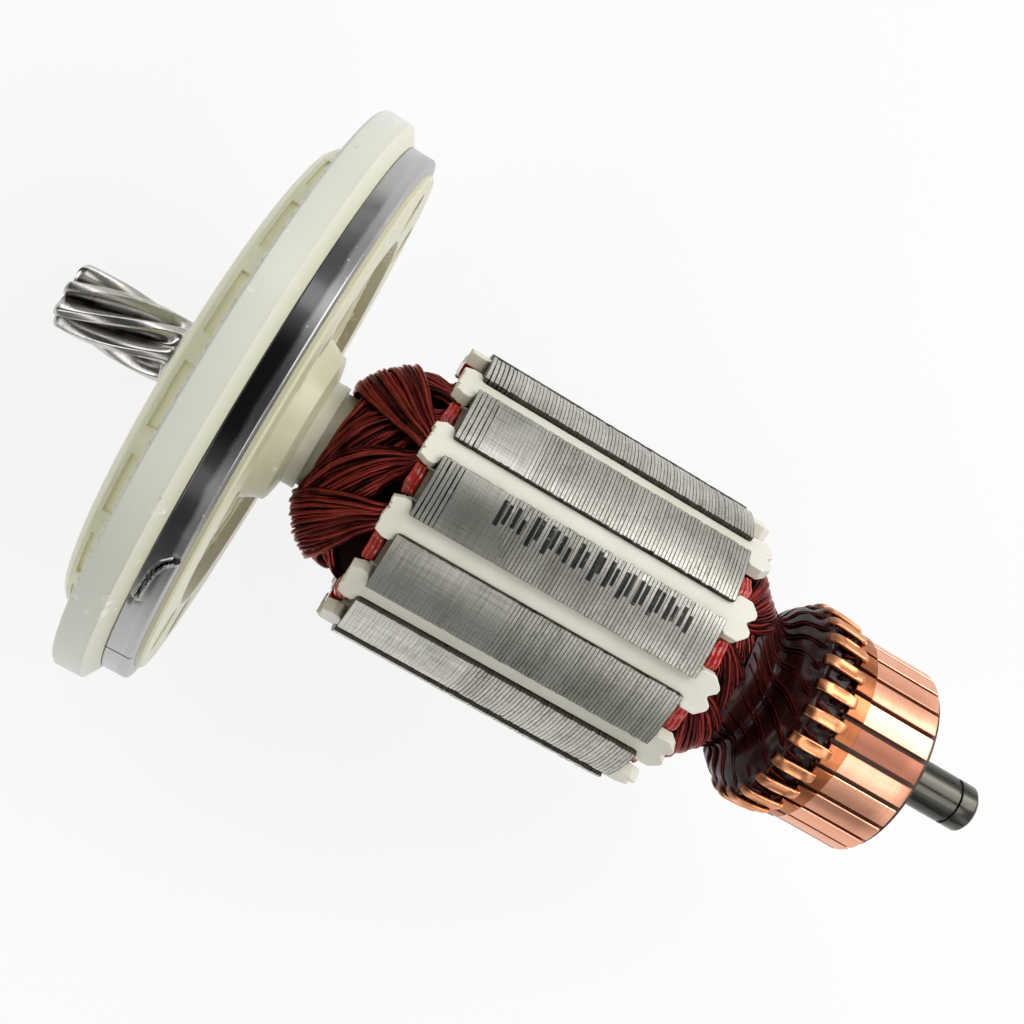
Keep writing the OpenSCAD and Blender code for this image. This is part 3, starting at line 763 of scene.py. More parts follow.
@dataclass
class SheetCore:
    """Stack of slotted sheets, each its own sheet in the mesh."""

    sheet: float = 0.5
    gap: float = 0.12
    loose: int = 5
    teeth: int = 12
    opening: float = 2.68
    tip: float = 1.1
    tooth_width: float = 3.9
    slot_bottom: float = 12.0
    slot_bottom_width: float = 2.6
    bore: float = 6.8
    lip_drop: float = 0.09
    long_band: float = 10.0
    face_tone: float = 0.8
    # Share of painted shade on the sheets' flat end faces.
    face_shade: float = 0.45
    # Length of each tooth's ground band from the drive end, at its two sides
    ground: tuple[tuple[float, float], ...] = (
        (8.5, 15.0), (16.3, 16.3), (16.2, 15.6), (13.0, 11.0), (12.0, 14.5), (9.0, 9.6), (13.5, 12.5),
        (12.0, 15.0), (8.5, 10.5), (14.0, 13.0), (1.0, 1.0), (9.3, 9.6))
    stack: Span = field(default_factory=lambda: Span.of("core_stack"))
    front: Span = field(default_factory=lambda: Span.of("core_end_laminations"))

    def tooth_top(self, angle: float) -> list[tuple[float, float, float]]:
        """The visible top of a tooth as (radius, angle, wall share) points, from side to side."""
        radius = self.stack.radius

        def half(r: float) -> float:
            """Half the tooth tip's angle at a radius."""
            return 180 / self.teeth - math.degrees(math.asin(self.opening / 2 / r))

        low = radius - self.tip
        lip = radius - self.lip_drop
        top = [(radius, angle - half(radius) * (1 - k / 4.5) * 0.985, 0.0) for k in range(10)]
        return [(low, angle - half(low), 1.0), (lip, angle - half(lip), 0.9), *top,
                (lip, angle + half(lip), 0.9), (low, angle + half(low), 1.0)]

    def stations(self) -> list[tuple[float, float]]:
        """Start and end of every sheet."""
        out = []
        for i in range(self.loose):
            x = self.front.start + i * (self.sheet + self.gap)
            out.append((x, x + self.sheet))
        count = round(self.stack.length / self.sheet)
        pitch = self.stack.length / count
        out += [(self.stack.start + i * pitch, self.stack.start + (i + 1) * pitch) for i in range(count)]
        return out

    def band_share(self, x: float, tooth: int, across: float) -> float:
        """How far a place lies in a tooth's ground band.

        Args:
            x: Station along the shaft.
            tooth: The tooth's number.
            across: Place across the tooth, 0 to 1.

        Returns:
            1 inside the band and 0 outside it.
        """
        first, last = self.ground[tooth]
        edge = self.front.start + first + (last - first) * across ** 2
        return max(0.0, min(1.0, (edge - x) / 0.5))

    def build(self, finish: bpy.types.Material) -> None:
        """Makes the sheets.

        Args:
            finish: The steel.
        """
        shape = Shape(seed=7)
        bands: list[float] = []
        shade_shares: list[float] = []
        dice = shape.dice
        last_loose = self.front.end - 0.01
        for start, end in self.stations():
            sheet_tone = dice.random()
            sheet_lift = -0.10 * dice.random() ** 3
            sheet_dark = dice.random()
            loose = start < last_loose
            for tooth in range(self.teeth):
                shut = self.ground[tooth][0] > self.long_band
                finish_x = end + self.gap * (1.0 if shut else dice.uniform(0.35, 0.8)) * loose
                shape.tone = sheet_tone * 0.6 + dice.random() * 0.4
                top = self.tooth_top(360 / self.teeth * tooth)
                count = len(top)
                slip = dice.uniform(-0.07, 0.07)
                lean = dice.uniform(-0.10, 0.10) * loose * (not shut)
                nick = [dice.random() ** 4 for _ in top]
                shares = [0.0 if loose and not shut else self.band_share(start, tooth, k / (count - 1))
                          for k in range(count)]
                rows = []
                for part, x in enumerate((start, start, finish_x, finish_x)):
                    edge = part in (0, 3)
                    ring = []
                    for k, (r, a, wall) in enumerate(top):
                        share = shares[k]
                        inset = 0.012 if edge else 0.02 + (0.025 + 0.04 * nick[k]) * (1 - share)
                        fall = (0.003 + 0.10 * (1 - share)) if edge else 0.0
                        lift = sheet_lift * (1 - share) - 0.03 - nick[k] * 0.06 * (1 - share)
                        side = -1 if k < count / 2 else 1
                        corner = min(k, count - 1 - k) < 3
                        x_here = x + (inset if part < 2 else -inset) + lean * (k / count - 0.5)
                        r_here = r + (lift - fall) * (1 - wall)
                        shift = (slip * (1 - share * 0.7) - side * (fall * 0.7 + nick[k] * 0.12)) * corner
                        ring.append(spot(x_here, r_here, a + math.degrees(shift / r)))
                    rows.append(shape.ring(ring))
                    bands += shares
                    # Painted shade on the sheet edges that line the gaps, on top of the tooth sides' wall
                    # share.
                    painted_shade = 0.55 + 0.4 * sheet_dark if edge else 0.0
                    shade_shares += [max(wall, painted_shade * (1 - share)) for (_, _, wall), share in zip(top, shares)]
                shape.skin(rows, caps=False, closed=False)
        self._ends(shape, bands, shade_shares)
        piece = shape.piece("core_sheets", finish, smooth=7)
        for name, values in (("band", bands), ("side", shade_shares)):
            piece.data.attributes.new(name, "FLOAT", "POINT").data.foreach_set("value", values)
        seat(piece, "core_steel", "core_stack", "core_end_laminations")

    def _ends(self, shape: Shape, bands: list[float], shade_shares: list[float]) -> None:
        """Adds the flat faces of the sheets that can be seen from the ends.

        Args:
            shape: The shape that takes them.
            bands: The stored band shares, to be extended.
            shade_shares: The stored shares of painted shade on tooth sides, sheet edges and end faces, to be
                extended.
        """
        faces = [x for pair in self.stations()[:self.loose + 1] for x in pair] + [self.stack.end]
        pitch = 360 / self.teeth
        shape.tone = self.face_tone
        shoulder = self.stack.radius - self.tip - 0.5
        half = math.radians(pitch / 2)
        shoulder_half = shoulder * math.tan(half) - self.tooth_width / 2 / math.cos(half)
        for x in faces:
            for tooth in range(self.teeth):
                middle = pitch * tooth
                slot = pitch / 2
                low = slot - math.degrees(math.atan(self.slot_bottom_width / 2 / self.slot_bottom))
                high = slot - math.degrees(math.atan(shoulder_half / shoulder))
                right = [(self.bore, slot), (self.slot_bottom, slot), (self.slot_bottom, low),
                         (shoulder, high)]
                top = [(r, a) for r, a, _ in self.tooth_top(0.0)]
                outline = [(r, -a) for r, a in right] + [(r - 0.08, a) for r, a in top] \
                    + [(r, a) for r, a in reversed(right)]
                ring = shape.ring(spot(x, r, middle + a) for r, a in outline)
                bands += [0.0] * len(outline)
                shade_shares += [self.face_shade] * len(outline)
                shape.faces.append(tuple(ring))


# ---- Slot insulation ---------------------------------------------------------------------


@dataclass
class SlotWedges:
    """White wedges that close the slots and end in wide arms."""

    face: float = 20.1
    back: float = 18.3
    neck: float = 1.29
    arm: float = 2.8
    drive_arm: float = 2.8
    comm_arm: float = 3.7
    notch: float = 0.9
    count: int = 12
    start: float = field(default_factory=lambda: Span.of("core_end_laminations").start)
    end: float = field(default_factory=lambda: Span.of("core_stack").end)

    def half_outline(self, dice: random.Random) -> list[tuple[float, float]]:
        """One side of the plan as (station, half width), from the drive end on.

        Args:
            dice: Random numbers that tear the moulding flash.

        Returns:
            Points from the middle of the drive end to the middle of the other end.
        """
        x0, x1 = self.start, self.end
        neck, arm = self.neck, self.arm
        torn = []
        for k in range(9):
            width = 0.28 * k
            torn.append((x0 - self.drive_arm + dice.uniform(0.0, 0.55) * (0.4 + 0.6 * (k % 2)), width))
        torn[0] = (torn[0][0], 0.0)
        return torn + [
            (x0 - self.drive_arm + dice.uniform(0.5, 0.9), arm - 0.35),
            (x0 - 1.5, arm + dice.uniform(-0.15, 0.0)),
            (x0 - 1.1, arm - 0.1), (x0 - 0.55, arm - 0.12), (x0 - 0.22, arm - 0.45), (x0 - 0.1, neck + 0.75),
            (x0 + 0.0, neck + 0.32), (x0 + 0.25, neck + 0.06), (x0 + 0.7, neck), (x0 + 12, neck),
            (x0 + 24, neck), (x1 - 0.6, neck), (x1 - 0.1, neck + 0.15), (x1 + 0.06, neck + 0.5),
            (x1 + 0.2, arm - 0.35), (x1 + 0.5, arm - 0.05), (x1 + 0.8, arm), (x1 + self.comm_arm - 1.25, arm),
            (x1 + self.comm_arm - 0.2, arm - 1.0), (x1 + self.comm_arm, arm - 1.35),
            (x1 + self.comm_arm - 0.05, arm - 1.9), (x1 + self.comm_arm - 0.45, 0.55),
            (x1 + self.comm_arm - self.notch, 0.12), (x1 + self.comm_arm - self.notch, 0.0)]

    def build(self, finish: bpy.types.Material) -> None:
        """Makes the twelve wedges."""
        for i in range(1, self.count + 1):
            shape = Shape(seed=100 + i)
            left, right = self.half_outline(shape.dice), self.half_outline(shape.dice)
            plan = left + [(x, -w) for x, w in reversed(right[1:-1])]
            angle = 360 / self.count * (i - 0.5)
            turn = Matrix.Rotation(math.radians(angle), 3, "X")
            rings = []
            for height in (self.back, self.face):
                rings.append(shape.ring(turn @ (Vector((x, w, height)) * MM) for x, w in plan))
            shape.skin(rings)
            piece = shape.piece(f"wedge_{i:02d}", finish, smooth=40)
            soften(piece, 0.13, 2)
            seat(piece, "white_moulding", f"slot_wedge_{i:02d}")


# ---- Winding -----------------------------------------------------------------------------


@dataclass(frozen=True)
class EndDome:
    """Outer surface of the winding at one end of the core."""

    face: float
    end: End
    outline: tuple[tuple[float, float], ...]

    def point(self, along: float, depth: float) -> tuple[float, float]:
        """A place on the dome.

        Args:
            along: Distance along the outline from the core, in millimetres; below 0 it is in the slot.
            depth: Distance below the surface.

        Returns:
            Station along the shaft and radius.
        """
        if along <= 0:
            return self.face - self.end.value * along, self.outline[0][1] - depth
        left = along
        for (d0, r0), (d1, r1) in zip(self.outline, self.outline[1:]):
            size = math.hypot(d1 - d0, r1 - r0)
            if left <= size or (d1, r1) == self.outline[-1]:
                t = left / size
                nx, nr = (r0 - r1) / size, (d1 - d0) / size
                d = d0 + (d1 - d0) * t - nx * depth
                r = r0 + (r1 - r0) * t - nr * depth
                return self.face + self.end.value * d, r
            left -= size
        raise ValueError("empty outline")

    @property
    def reach(self) -> float:
        """Length of the outline."""
        return sum(math.dist(a, b) for a, b in zip(self.outline, self.outline[1:]))


@dataclass
class Winding:
    """Twelve coils in six nested layers of two, as fans of single wires."""

    wire: float = 0.54
    pitch: float = 30.0
    span: float = 150.0
    across: int = 17
    layers: int = 6
    layer_step: float = 1.15
    count: int = 12
    edge_reach: float = 18.1
    least_radius: float = 7.2
    doubled_from: int = 5
    row_drop: float = 0.5
    body_depth: float = 3.4
    body_radius: float = 6.9
    body_steps: int = 20
    core_start: float = field(default_factory=lambda: Span.of("core_end_laminations").start)
    core_end: float = field(default_factory=lambda: Span.of("core_stack").end)
    drive_outline: tuple[tuple[float, float], ...] = (
        (0.0, 17.6), (3.0, 17.1), (4.9, 16.4), (7.4, 15.0), (9.4, 13.6), (11.3, 12.0), (12.6, 10.2),
        (13.3, 8.6), (13.5, 7.3))
    comm_outline: tuple[tuple[float, float], ...] = (
        (0.0, 17.6), (3.0, 17.0), (5.0, 16.0), (7.0, 14.4), (9.0, 12.5), (10.6, 11.0), (11.3, 9.6),
        (11.5, 8.0))
    # A band's edge next to the core: distance over the dome, turn from its slot in degrees
    near_edge: tuple[tuple[float, float], ...] = (
        (-1.5, 4.0), (0.9, 6.0), (2.9, 13.0), (4.3, 21.0), (6.0, 35.0), (7.3, 50.0), (8.0, 63.0),
        (8.2, 75.0))
    # The other edge, for the outermost layer and the ones under it
    outer_far_edge: tuple[tuple[float, float], ...] = (
        (-1.5, -4.0), (0.9, -3.5), (3.6, 0.5), (6.9, 4.5), (10.2, 11.0), (13.6, 23.0), (16.3, 46.0),
        (17.1, 75.0))
    inner_far_edge: tuple[tuple[float, float], ...] = (
        (-1.5, -4.0), (0.9, -1.0), (3.6, 4.0), (6.9, 6.5), (10.2, 12.0), (13.6, 26.0), (16.0, 50.0),
        (16.8, 75.0))

    def strand(self, dome: EndDome, slot: float, layer: int, lane: float, stack: float,
               dice: random.Random) -> list[Vector]:
        """The path of one wire over an end of the core.

        Args:
            dome: The end's surface.
            slot: Angle of the slot that it leaves.
            layer: Layer of its coil.
            lane: Place in the band, 0 at the far edge and 1 at the edge next to the core.
            stack: How far it lies under its neighbours in the slot, in millimetres.
            dice: Random numbers of this coil.

        Returns:
            Points in metres, from slot to slot.
        """
        scale = dome.reach / self.edge_reach
        far_edge = self.outer_far_edge if layer == self.layers else self.inner_far_edge
        drift, phase = dice.uniform(0.012, 0.04), dice.uniform(0.0, 6.3)
        sag = dice.uniform(-0.10, 0.10)
        path = []
        knots = len(far_edge)
        order = list(range(knots)) + list(range(knots - 2, -1, -1))
        rows = []
        for j, k in enumerate(order):
            far, near = far_edge[k], self.near_edge[k]
            free = min(1.0, k / 3)
            t = min(1.0, max(0.0, lane + drift * math.sin(phase + 0.7 * j) * free))
            turn = far[1] + (near[1] - far[1]) * t
            tight = max(0.0, 1.0 - k / 4.5)
            deep = (self.wire / 2 + (self.layers - layer) * self.layer_step * self.thin(far, near, t)
                    + stack * tight + sag * free + 0.1 * math.sin(phase * 2 + 0.9 * j))
            rows.append(((far[0] + (near[0] - far[0]) * t) * scale,
                         turn if j < knots else self.span - turn, deep))
        for along, turn, deep in course(rows, 4 if layer >= self.doubled_from else 3):
            x, r = dome.point(along, deep)
            path.append(spot(x, max(r, self.least_radius), slot + turn))
        return path

    @staticmethod
    def thin(far: tuple[float, float], near: tuple[float, float], lane: float) -> float:
        """Share of the layer step that is left at a place; the layers meet next to the shaft."""
        along = far[0] + (near[0] - far[0]) * lane
        return 1.0 - 0.72 * max(0.0, min(1.0, (along - 7.0) / 8.0))

    def coil(self, number: int, finish: bpy.types.Material) -> None:
        """Makes one coil's wires at both ends.

        Args:
            number: The coil's number.
            finish: The enamel.
        """
        shape = Shape(seed=40 + number)
        slot = self.pitch * (number - 0.5)
        layer = self.layer_of(number)
        for dome in self.domes():
            for row in range(2 if layer >= self.doubled_from else 1):
                for k in range(self.across):
                    lane = (k + 0.5 * row) / (self.across - 0.5)
                    stack = (k * 2 % 3) * 0.55 + row * self.row_drop
                    shape.tone = shape.dice.random()
                    path = self.strand(dome, slot, layer, min(lane, 1.0), stack, shape.dice)
                    if row:
                        path = [p - Vector((0.0, p.y, p.z)).normalized() * self.row_drop * MM
                                for p in path]
                    shape.tube(path, self.wire / 2 * shape.dice.uniform(0.95, 1.04))
        piece = shape.piece(f"coil_{number:02d}_wires", finish, smooth=80)
        seat(piece, "enamelled_wire", f"coil_{number:02d}")

    def domes(self) -> tuple[EndDome, EndDome]:
        """The winding's outer surfaces at the drive end and the commutator end."""
        return (EndDome(self.core_start, End.DRIVE, self.drive_outline),
                EndDome(self.core_end, End.COMMUTATOR, self.comm_outline))

    def layer_of(self, number: int) -> int:
        """Layer of a coil, 6 outermost; opposite coils share one."""
        return (number - 1) % self.layers or self.layers

    def build(self, enamel: bpy.types.Material, dark: bpy.types.Material) -> None:
        """Makes the coils and, under them, a dark body of painted shade for the depth between the wires.

        Args:
            enamel: Finish of the wires.
            dark: Finish of the body, painted shade for the unseen depth between the wires.
        """
        for number in range(1, self.count + 1):
            self.coil(number, enamel)
        for name, dome in zip(("drive", "comm"), self.domes()):
            shape = Shape(seed=3)
            outline = [dome.point(dome.reach * k / self.body_steps, self.body_depth)
                       for k in range(1, self.body_steps)]
            outline = [(x, max(r, self.body_radius)) for x, r in outline]
            inside = self.body_radius - 0.05
            shape.lathe(outline + [(outline[-1][0], inside), (outline[0][0], inside)], 96)
            # The body is painted shade between the wires.
            piece = shape.piece(f"winding_shade_body_{name}", dark, smooth=60)
            seat(piece, "enamelled_wire")


@dataclass
class Saddles:
    """Varnished wires that cross the ends of the teeth between the wedge arms."""

    teeth: int = 12
    half_turn: float = 6.4
    near: float = 0.6
    far: float = 2.85
    top: float = 18.75
    low: float = 16.35
    wires: int = 3
    steps: int = 24

    def outline(self) -> list[tuple[float, float]]:
        """Closed section as (distance from the core, radius), ridged by the wires under the varnish."""
        points = []
        for k in range(self.steps):
            t = k / (self.steps - 1)
            ridge = abs(math.sin(math.pi * t * self.wires)) * 0.16
            edge = 0.32 * (abs(2 * t - 1) ** 4)
            points.append((self.near + (self.far - self.near) * t, self.top - 0.22 + ridge - edge))
        return points + [(self.far, self.low), (self.near, self.low)]

    def build(self, finish: bpy.types.Material) -> None:
        """Makes the saddles of both ends.

        Args:
            finish: The varnish.
        """
        shape = Shape(seed=31)
        core_start = Span.of("core_end_laminations").start
        core_end = Span.of("core_stack").end
        for face, end in ((core_start, End.DRIVE), (core_end, End.COMMUTATOR)):
            for tooth in range(self.teeth):
                phase, size = shape.dice.uniform(0, 6.3), shape.dice.uniform(0.75, 1.0)
                middle = 360 / self.teeth * tooth
                shape.tone = shape.dice.random()

                def lump(x: float, r: float, angle: float) -> tuple[float, float]:
                    """Sags and swells the section along its length."""
                    u = (angle - middle) / self.half_turn
                    share = (r - self.low) / (self.top - self.low)
                    swell = 0.10 * math.sin(phase + 3.1 * u) + 0.06 * math.sin(2 * phase + 7.3 * u + 2 * x)
                    fall = 0.30 * abs(u) ** 3
                    reach = ((x - self.near) * size * (1 - 0.12 * u * u) + self.near
                             + 0.08 * math.sin(phase + 4 * u))
                    return face + end.value * reach, r + share * (swell - fall - 0.12)

                shape.lathe(self.outline(), 18, middle - self.half_turn, 2 * self.half_turn, lump)
        seat(shape.piece("varnished_saddles", finish, smooth=55), "red_varnish", "winding_saddles")


# ---- Commutator --------------------------------------------------------------------------


@dataclass
class HookedCommutator:
    """Twenty-four copper bars, each with a hook that was pressed down hot over its wires."""

    count: int = 24
    slit: float = 0.6
    bar_in: float = 9.6
    tang: float = 13.3
    riser: float = 14.1
    track: float = 13.9
    hook_width: float = 1.62
    hook_thick: float = 0.74
    hook_top: float = 15.2
    body_steps: int = 8
    hook_sides: int = 20
    start: float = field(default_factory=lambda: Span.of("commutator_bar_01").start)
    end: float = field(default_factory=lambda: Span.of("commutator_bar_01").end)

    @property
    def riser_start(self) -> float:
        """Station where the riser band begins."""
        return self.start + 5.8

    @property
    def track_start(self) -> float:
        """Station where the brush track begins."""
        return self.end - 10.4

    def body(self, shape: Shape, angle: float) -> None:
        """Adds a bar's wedge-shaped body.

        Args:
            shape: The bar's shape.
            angle: Its middle.
        """
        x0, x1, xr, xt = self.start, self.end, self.riser_start, self.track_start
        crown = [
            (x0, self.tang - 0.15), (x0 + 0.15, self.tang), (xr - 0.2, self.tang),
            (xr - 0.02, self.tang + 0.2),
            (xr, self.riser - 0.12), (xr + 0.12, self.riser), (xt - 0.05, self.riser - 0.02),
            (xt + 0.08, self.track + 0.01), (xt + 0.3, self.track), (xt + 3.5, self.track - 0.02),
            (xt + 7.5, self.track - 0.02), (x1 - 0.35, self.track), (x1 - 0.1, self.track - 0.1),
            (x1, self.track - 0.32)]
        outline = [(x0, self.bar_in), *crown, (x1, self.bar_in)]
        half = math.radians(180 / self.count)
        rings = []
        for k in range(self.body_steps + 1):
            share = 2 * k / self.body_steps - 1
            flank = k in (0, self.body_steps)
            bow = share * 1.25 if abs(share) > 0.7 and not flank else share
            ring = []
            for x, r in outline:
                limit = math.degrees(half - math.asin(self.slit / 2 / r))
                edge = 0.10 if flank and r > self.tang - 0.2 else 0.0
                ring.append(spot(x, r - edge, angle + limit * bow))
            rings.append(shape.ring(ring))
        shape.skin(rings)

    def hook(self, shape: Shape, angle: float) -> None:
        """Adds the folded hook, dented where the electrode pressed it.

        Args:
            shape: The bar's shape.
            angle: Its middle.
        """
        dice = shape.dice
        x0, xr = self.start, self.riser_start
        top = self.hook_top - self.hook_thick / 2 - 0.03
        lean = dice.uniform(-1.0, 1.0)
        knots = [
            (x0 + 0.42, self.tang - 0.3), (x0 + 0.38, self.tang + 0.45), (x0 + 0.62, top - 0.42),
            (x0 + 1.25, top - 0.04), (x0 + 2.2, top), (x0 + 3.2, top - 0.02), (x0 + 4.2, top - 0.10),
            (xr - 0.75, top - 0.20),
            (xr + 0.05, top - 0.32), (xr + 0.62, self.riser + 0.20)]
        path = course(knots, 5)
        rings = []
        for j, (x, r) in enumerate(path):
            bx, br = path[max(j - 1, 0)]
            ax, ar = path[min(j + 1, len(path) - 1)]
            size = math.hypot(ax - bx, ar - br)
            nx, nr = -(ar - br) / size, (ax - bx) / size
            share = j / (len(path) - 1)
            pressed = math.exp(-((share - 0.60) / 0.17) ** 4)
            width = self.hook_width / 2 * (1 + 0.08 * pressed + 0.10 * (share < 0.12) - 0.10 * (share > 0.9))
            thick = self.hook_thick / 2 * (1 - 0.25 * max(0.0, share - 0.88) / 0.12)
            side_lean = lean * share * 0.6
            ring = []
            for k in range(self.hook_sides):
                a = math.tau * k / self.hook_sides
                ca, sa = math.cos(a), math.sin(a)
                w = width * math.copysign(abs(ca) ** 0.45, ca)
                t = thick * math.copysign(abs(sa) ** 0.45, sa)
                if sa > 0.2 and abs(w) < width * 0.62:
                    t -= 0.15 * pressed
                px, pr = x + nx * t, r + nr * t
                ring.append(spot(px, pr, angle + math.degrees(w / pr) + side_lean))
            rings.append(shape.ring(ring))
        shape.skin(rings)

    def build(self, copper: bpy.types.Material) -> None:
        """Makes the bars.

        Args:
            copper: Their finish.
        """
        for i in range(1, self.count + 1):
            angle = 360 / self.count * (i - 1)
            shape = Shape(seed=200 + i)
            # Bar 1's high tone paints a dark reflection on its track.
            shape.tone = 0.95 if i == 1 else shape.dice.random() * 0.35
            self.body(shape, angle)
            self.hook(shape, angle)
            piece = shape.piece(f"bar_{i:02d}", copper, smooth=42)
            seat(piece, "bar_copper", f"commutator_bar_{i:02d}")


@dataclass
class SoakedNeck:
    """Resin that has run between the end winding, the leads and the hooks."""

    bars: int = 24
    steps: int = 480
    nose: float = field(default_factory=lambda: Span.of("commutator_moulding").start)
    start: float = field(default_factory=lambda: Span.of("commutator_bar_01").start)

    def outline(self) -> list[tuple[float, float]]:
        """Upper surface of the resin as (station, radius), from the winding to the riser band."""
        n, b = self.nose, self.start
        return [(n - 6.6, 12.2), (n - 5.4, 12.0), (n - 4.0, 11.2), (n - 2.9, 10.4), (n - 2.1, 10.0),
                (n - 1.3, 10.1), (n - 0.7, 10.9), (n - 0.2, 12.0), (n + 0.6, 12.95), (b - 0.4, 13.6),
                (b + 0.2, 14.2), (b + 0.8, 14.7), (b + 1.3, 14.6), (b + 1.9, 14.2), (b + 2.8, 14.0),
                (b + 3.8, 13.95), (b + 4.9, 13.7), (b + 5.6, 13.4), (b + 5.65, 13.0)]

    def surface(self, x: float) -> float:
        """Radius of the resin's upper surface at a station."""
        rows = self.outline()
        for (x0, r0), (x1, r1) in zip(rows, rows[1:]):
            if x <= x1:
                return r0 + (r1 - r0) * max(0.0, (x - x0) / (x1 - x0))
        return rows[-1][1]

    def lump(self, x: float, r: float, angle: float) -> tuple[float, float]:
        """Lets the resin sag and swell along and round the neck."""
        slow, quick = math.radians(angle * 3 + 40), math.radians(angle * 7) + x * 0.8
        wave = 0.16 * math.sin(slow) + 0.10 * math.sin(quick)
        hooks = max(0.0, min(1.0, (x - self.start + 1.5) / 2.5))
        place = math.radians(angle * self.bars + 180 + 8 * math.sin(angle))
        dip = -0.42 * hooks * (0.5 + 0.5 * math.cos(place))
        return x + 0.12 * math.sin(math.radians(angle * 5 + 20)), r + wave * (1 - 0.6 * hooks) + dip

    def build(self, resin: bpy.types.Material) -> None:
        """Makes the resin.

        Args:
            resin: Its finish.
        """
        shape = Shape(seed=5)
        surface = course(self.outline(), 4)
        closing = [(surface[-1][0], 9.7), (surface[0][0], 9.0)]
        rings = []
        for k in range(self.steps):
            angle = 360 * k / self.steps
            row = [self.lump(x, r, angle) for x, r in surface] + closing
            rings.append(shape.ring(spot(x, r, angle) for x, r in row))
        shape.skin(rings, loop=True)
        seat(shape.piece("neck_resin", resin, smooth=60), "dark_resin", "resin_neck")


@dataclass
class HookLeads:
    """Pairs of wires that run through the resin to the hooks."""

    wire: float = 0.54
    bars: int = 24
    sink: float = 0.17
    neck: SoakedNeck = field(default_factory=SoakedNeck)

    def build(self, enamel: bpy.types.Material) -> None:
        """Makes the leads.

        Args:
            enamel: Their finish.
        """
        shape = Shape(seed=77)
        n, b = self.neck.nose, self.neck.start
        for bar in range(self.bars):
            base = 360 / self.bars * bar
            for pair in (0, 1):
                dice = shape.dice
                swing = dice.uniform(-1.6, 1.6)
                rise = dice.uniform(-0.1, 0.12)
                shape.tone = 0.45 + 0.5 * dice.random()
                turns = [
                    (n - 6.4, -44 + 5.5 * pair + swing), (n - 5.2, -39 + 5 * pair + swing),
                    (n - 3.9, -34 + 4.5 * pair + swing), (n - 2.7, -29.5 + 4 * pair + swing * 0.8),
                    (n - 1.7, -26 + 3.6 * pair + swing * 0.6), (n - 0.85, -23 + 3.2 * pair),
                    (n - 0.3, -20.5 + 3 * pair), (n + 0.25, -18 + 2.8 * pair), (n + 1.1, -14 + 2.6 * pair),
                    (b + 0.2, -9.4 + 1.6 * pair), (b + 1.2, -6.6 + 0.6 * pair)]
                knots = [(x, self.neck.lump(x, self.neck.surface(x), base + a)[1] - self.sink, a)
                         for x, a in turns] + [
                    (b + 2.2 + 0.5 * pair, 14.15, -5.2), (b + 3.2 + 0.7 * pair, 14.05, -3.4),
                    (b + 3.7 + 0.7 * pair, 14.02, 0.0), (b + 3.6 + 0.7 * pair, 14.0, 3.4),
                    (b + 3.2, 13.8, 4.4)]
                shape.tube([spot(x, r + rise * (x < n), base + a) for x, r, a in course(knots, 4)],
                           self.wire / 2)
        seat(shape.piece("hook_leads", enamel, smooth=80), "enamelled_wire", "commutator_leads")


# ---- Shaft -------------------------------------------------------------------------------


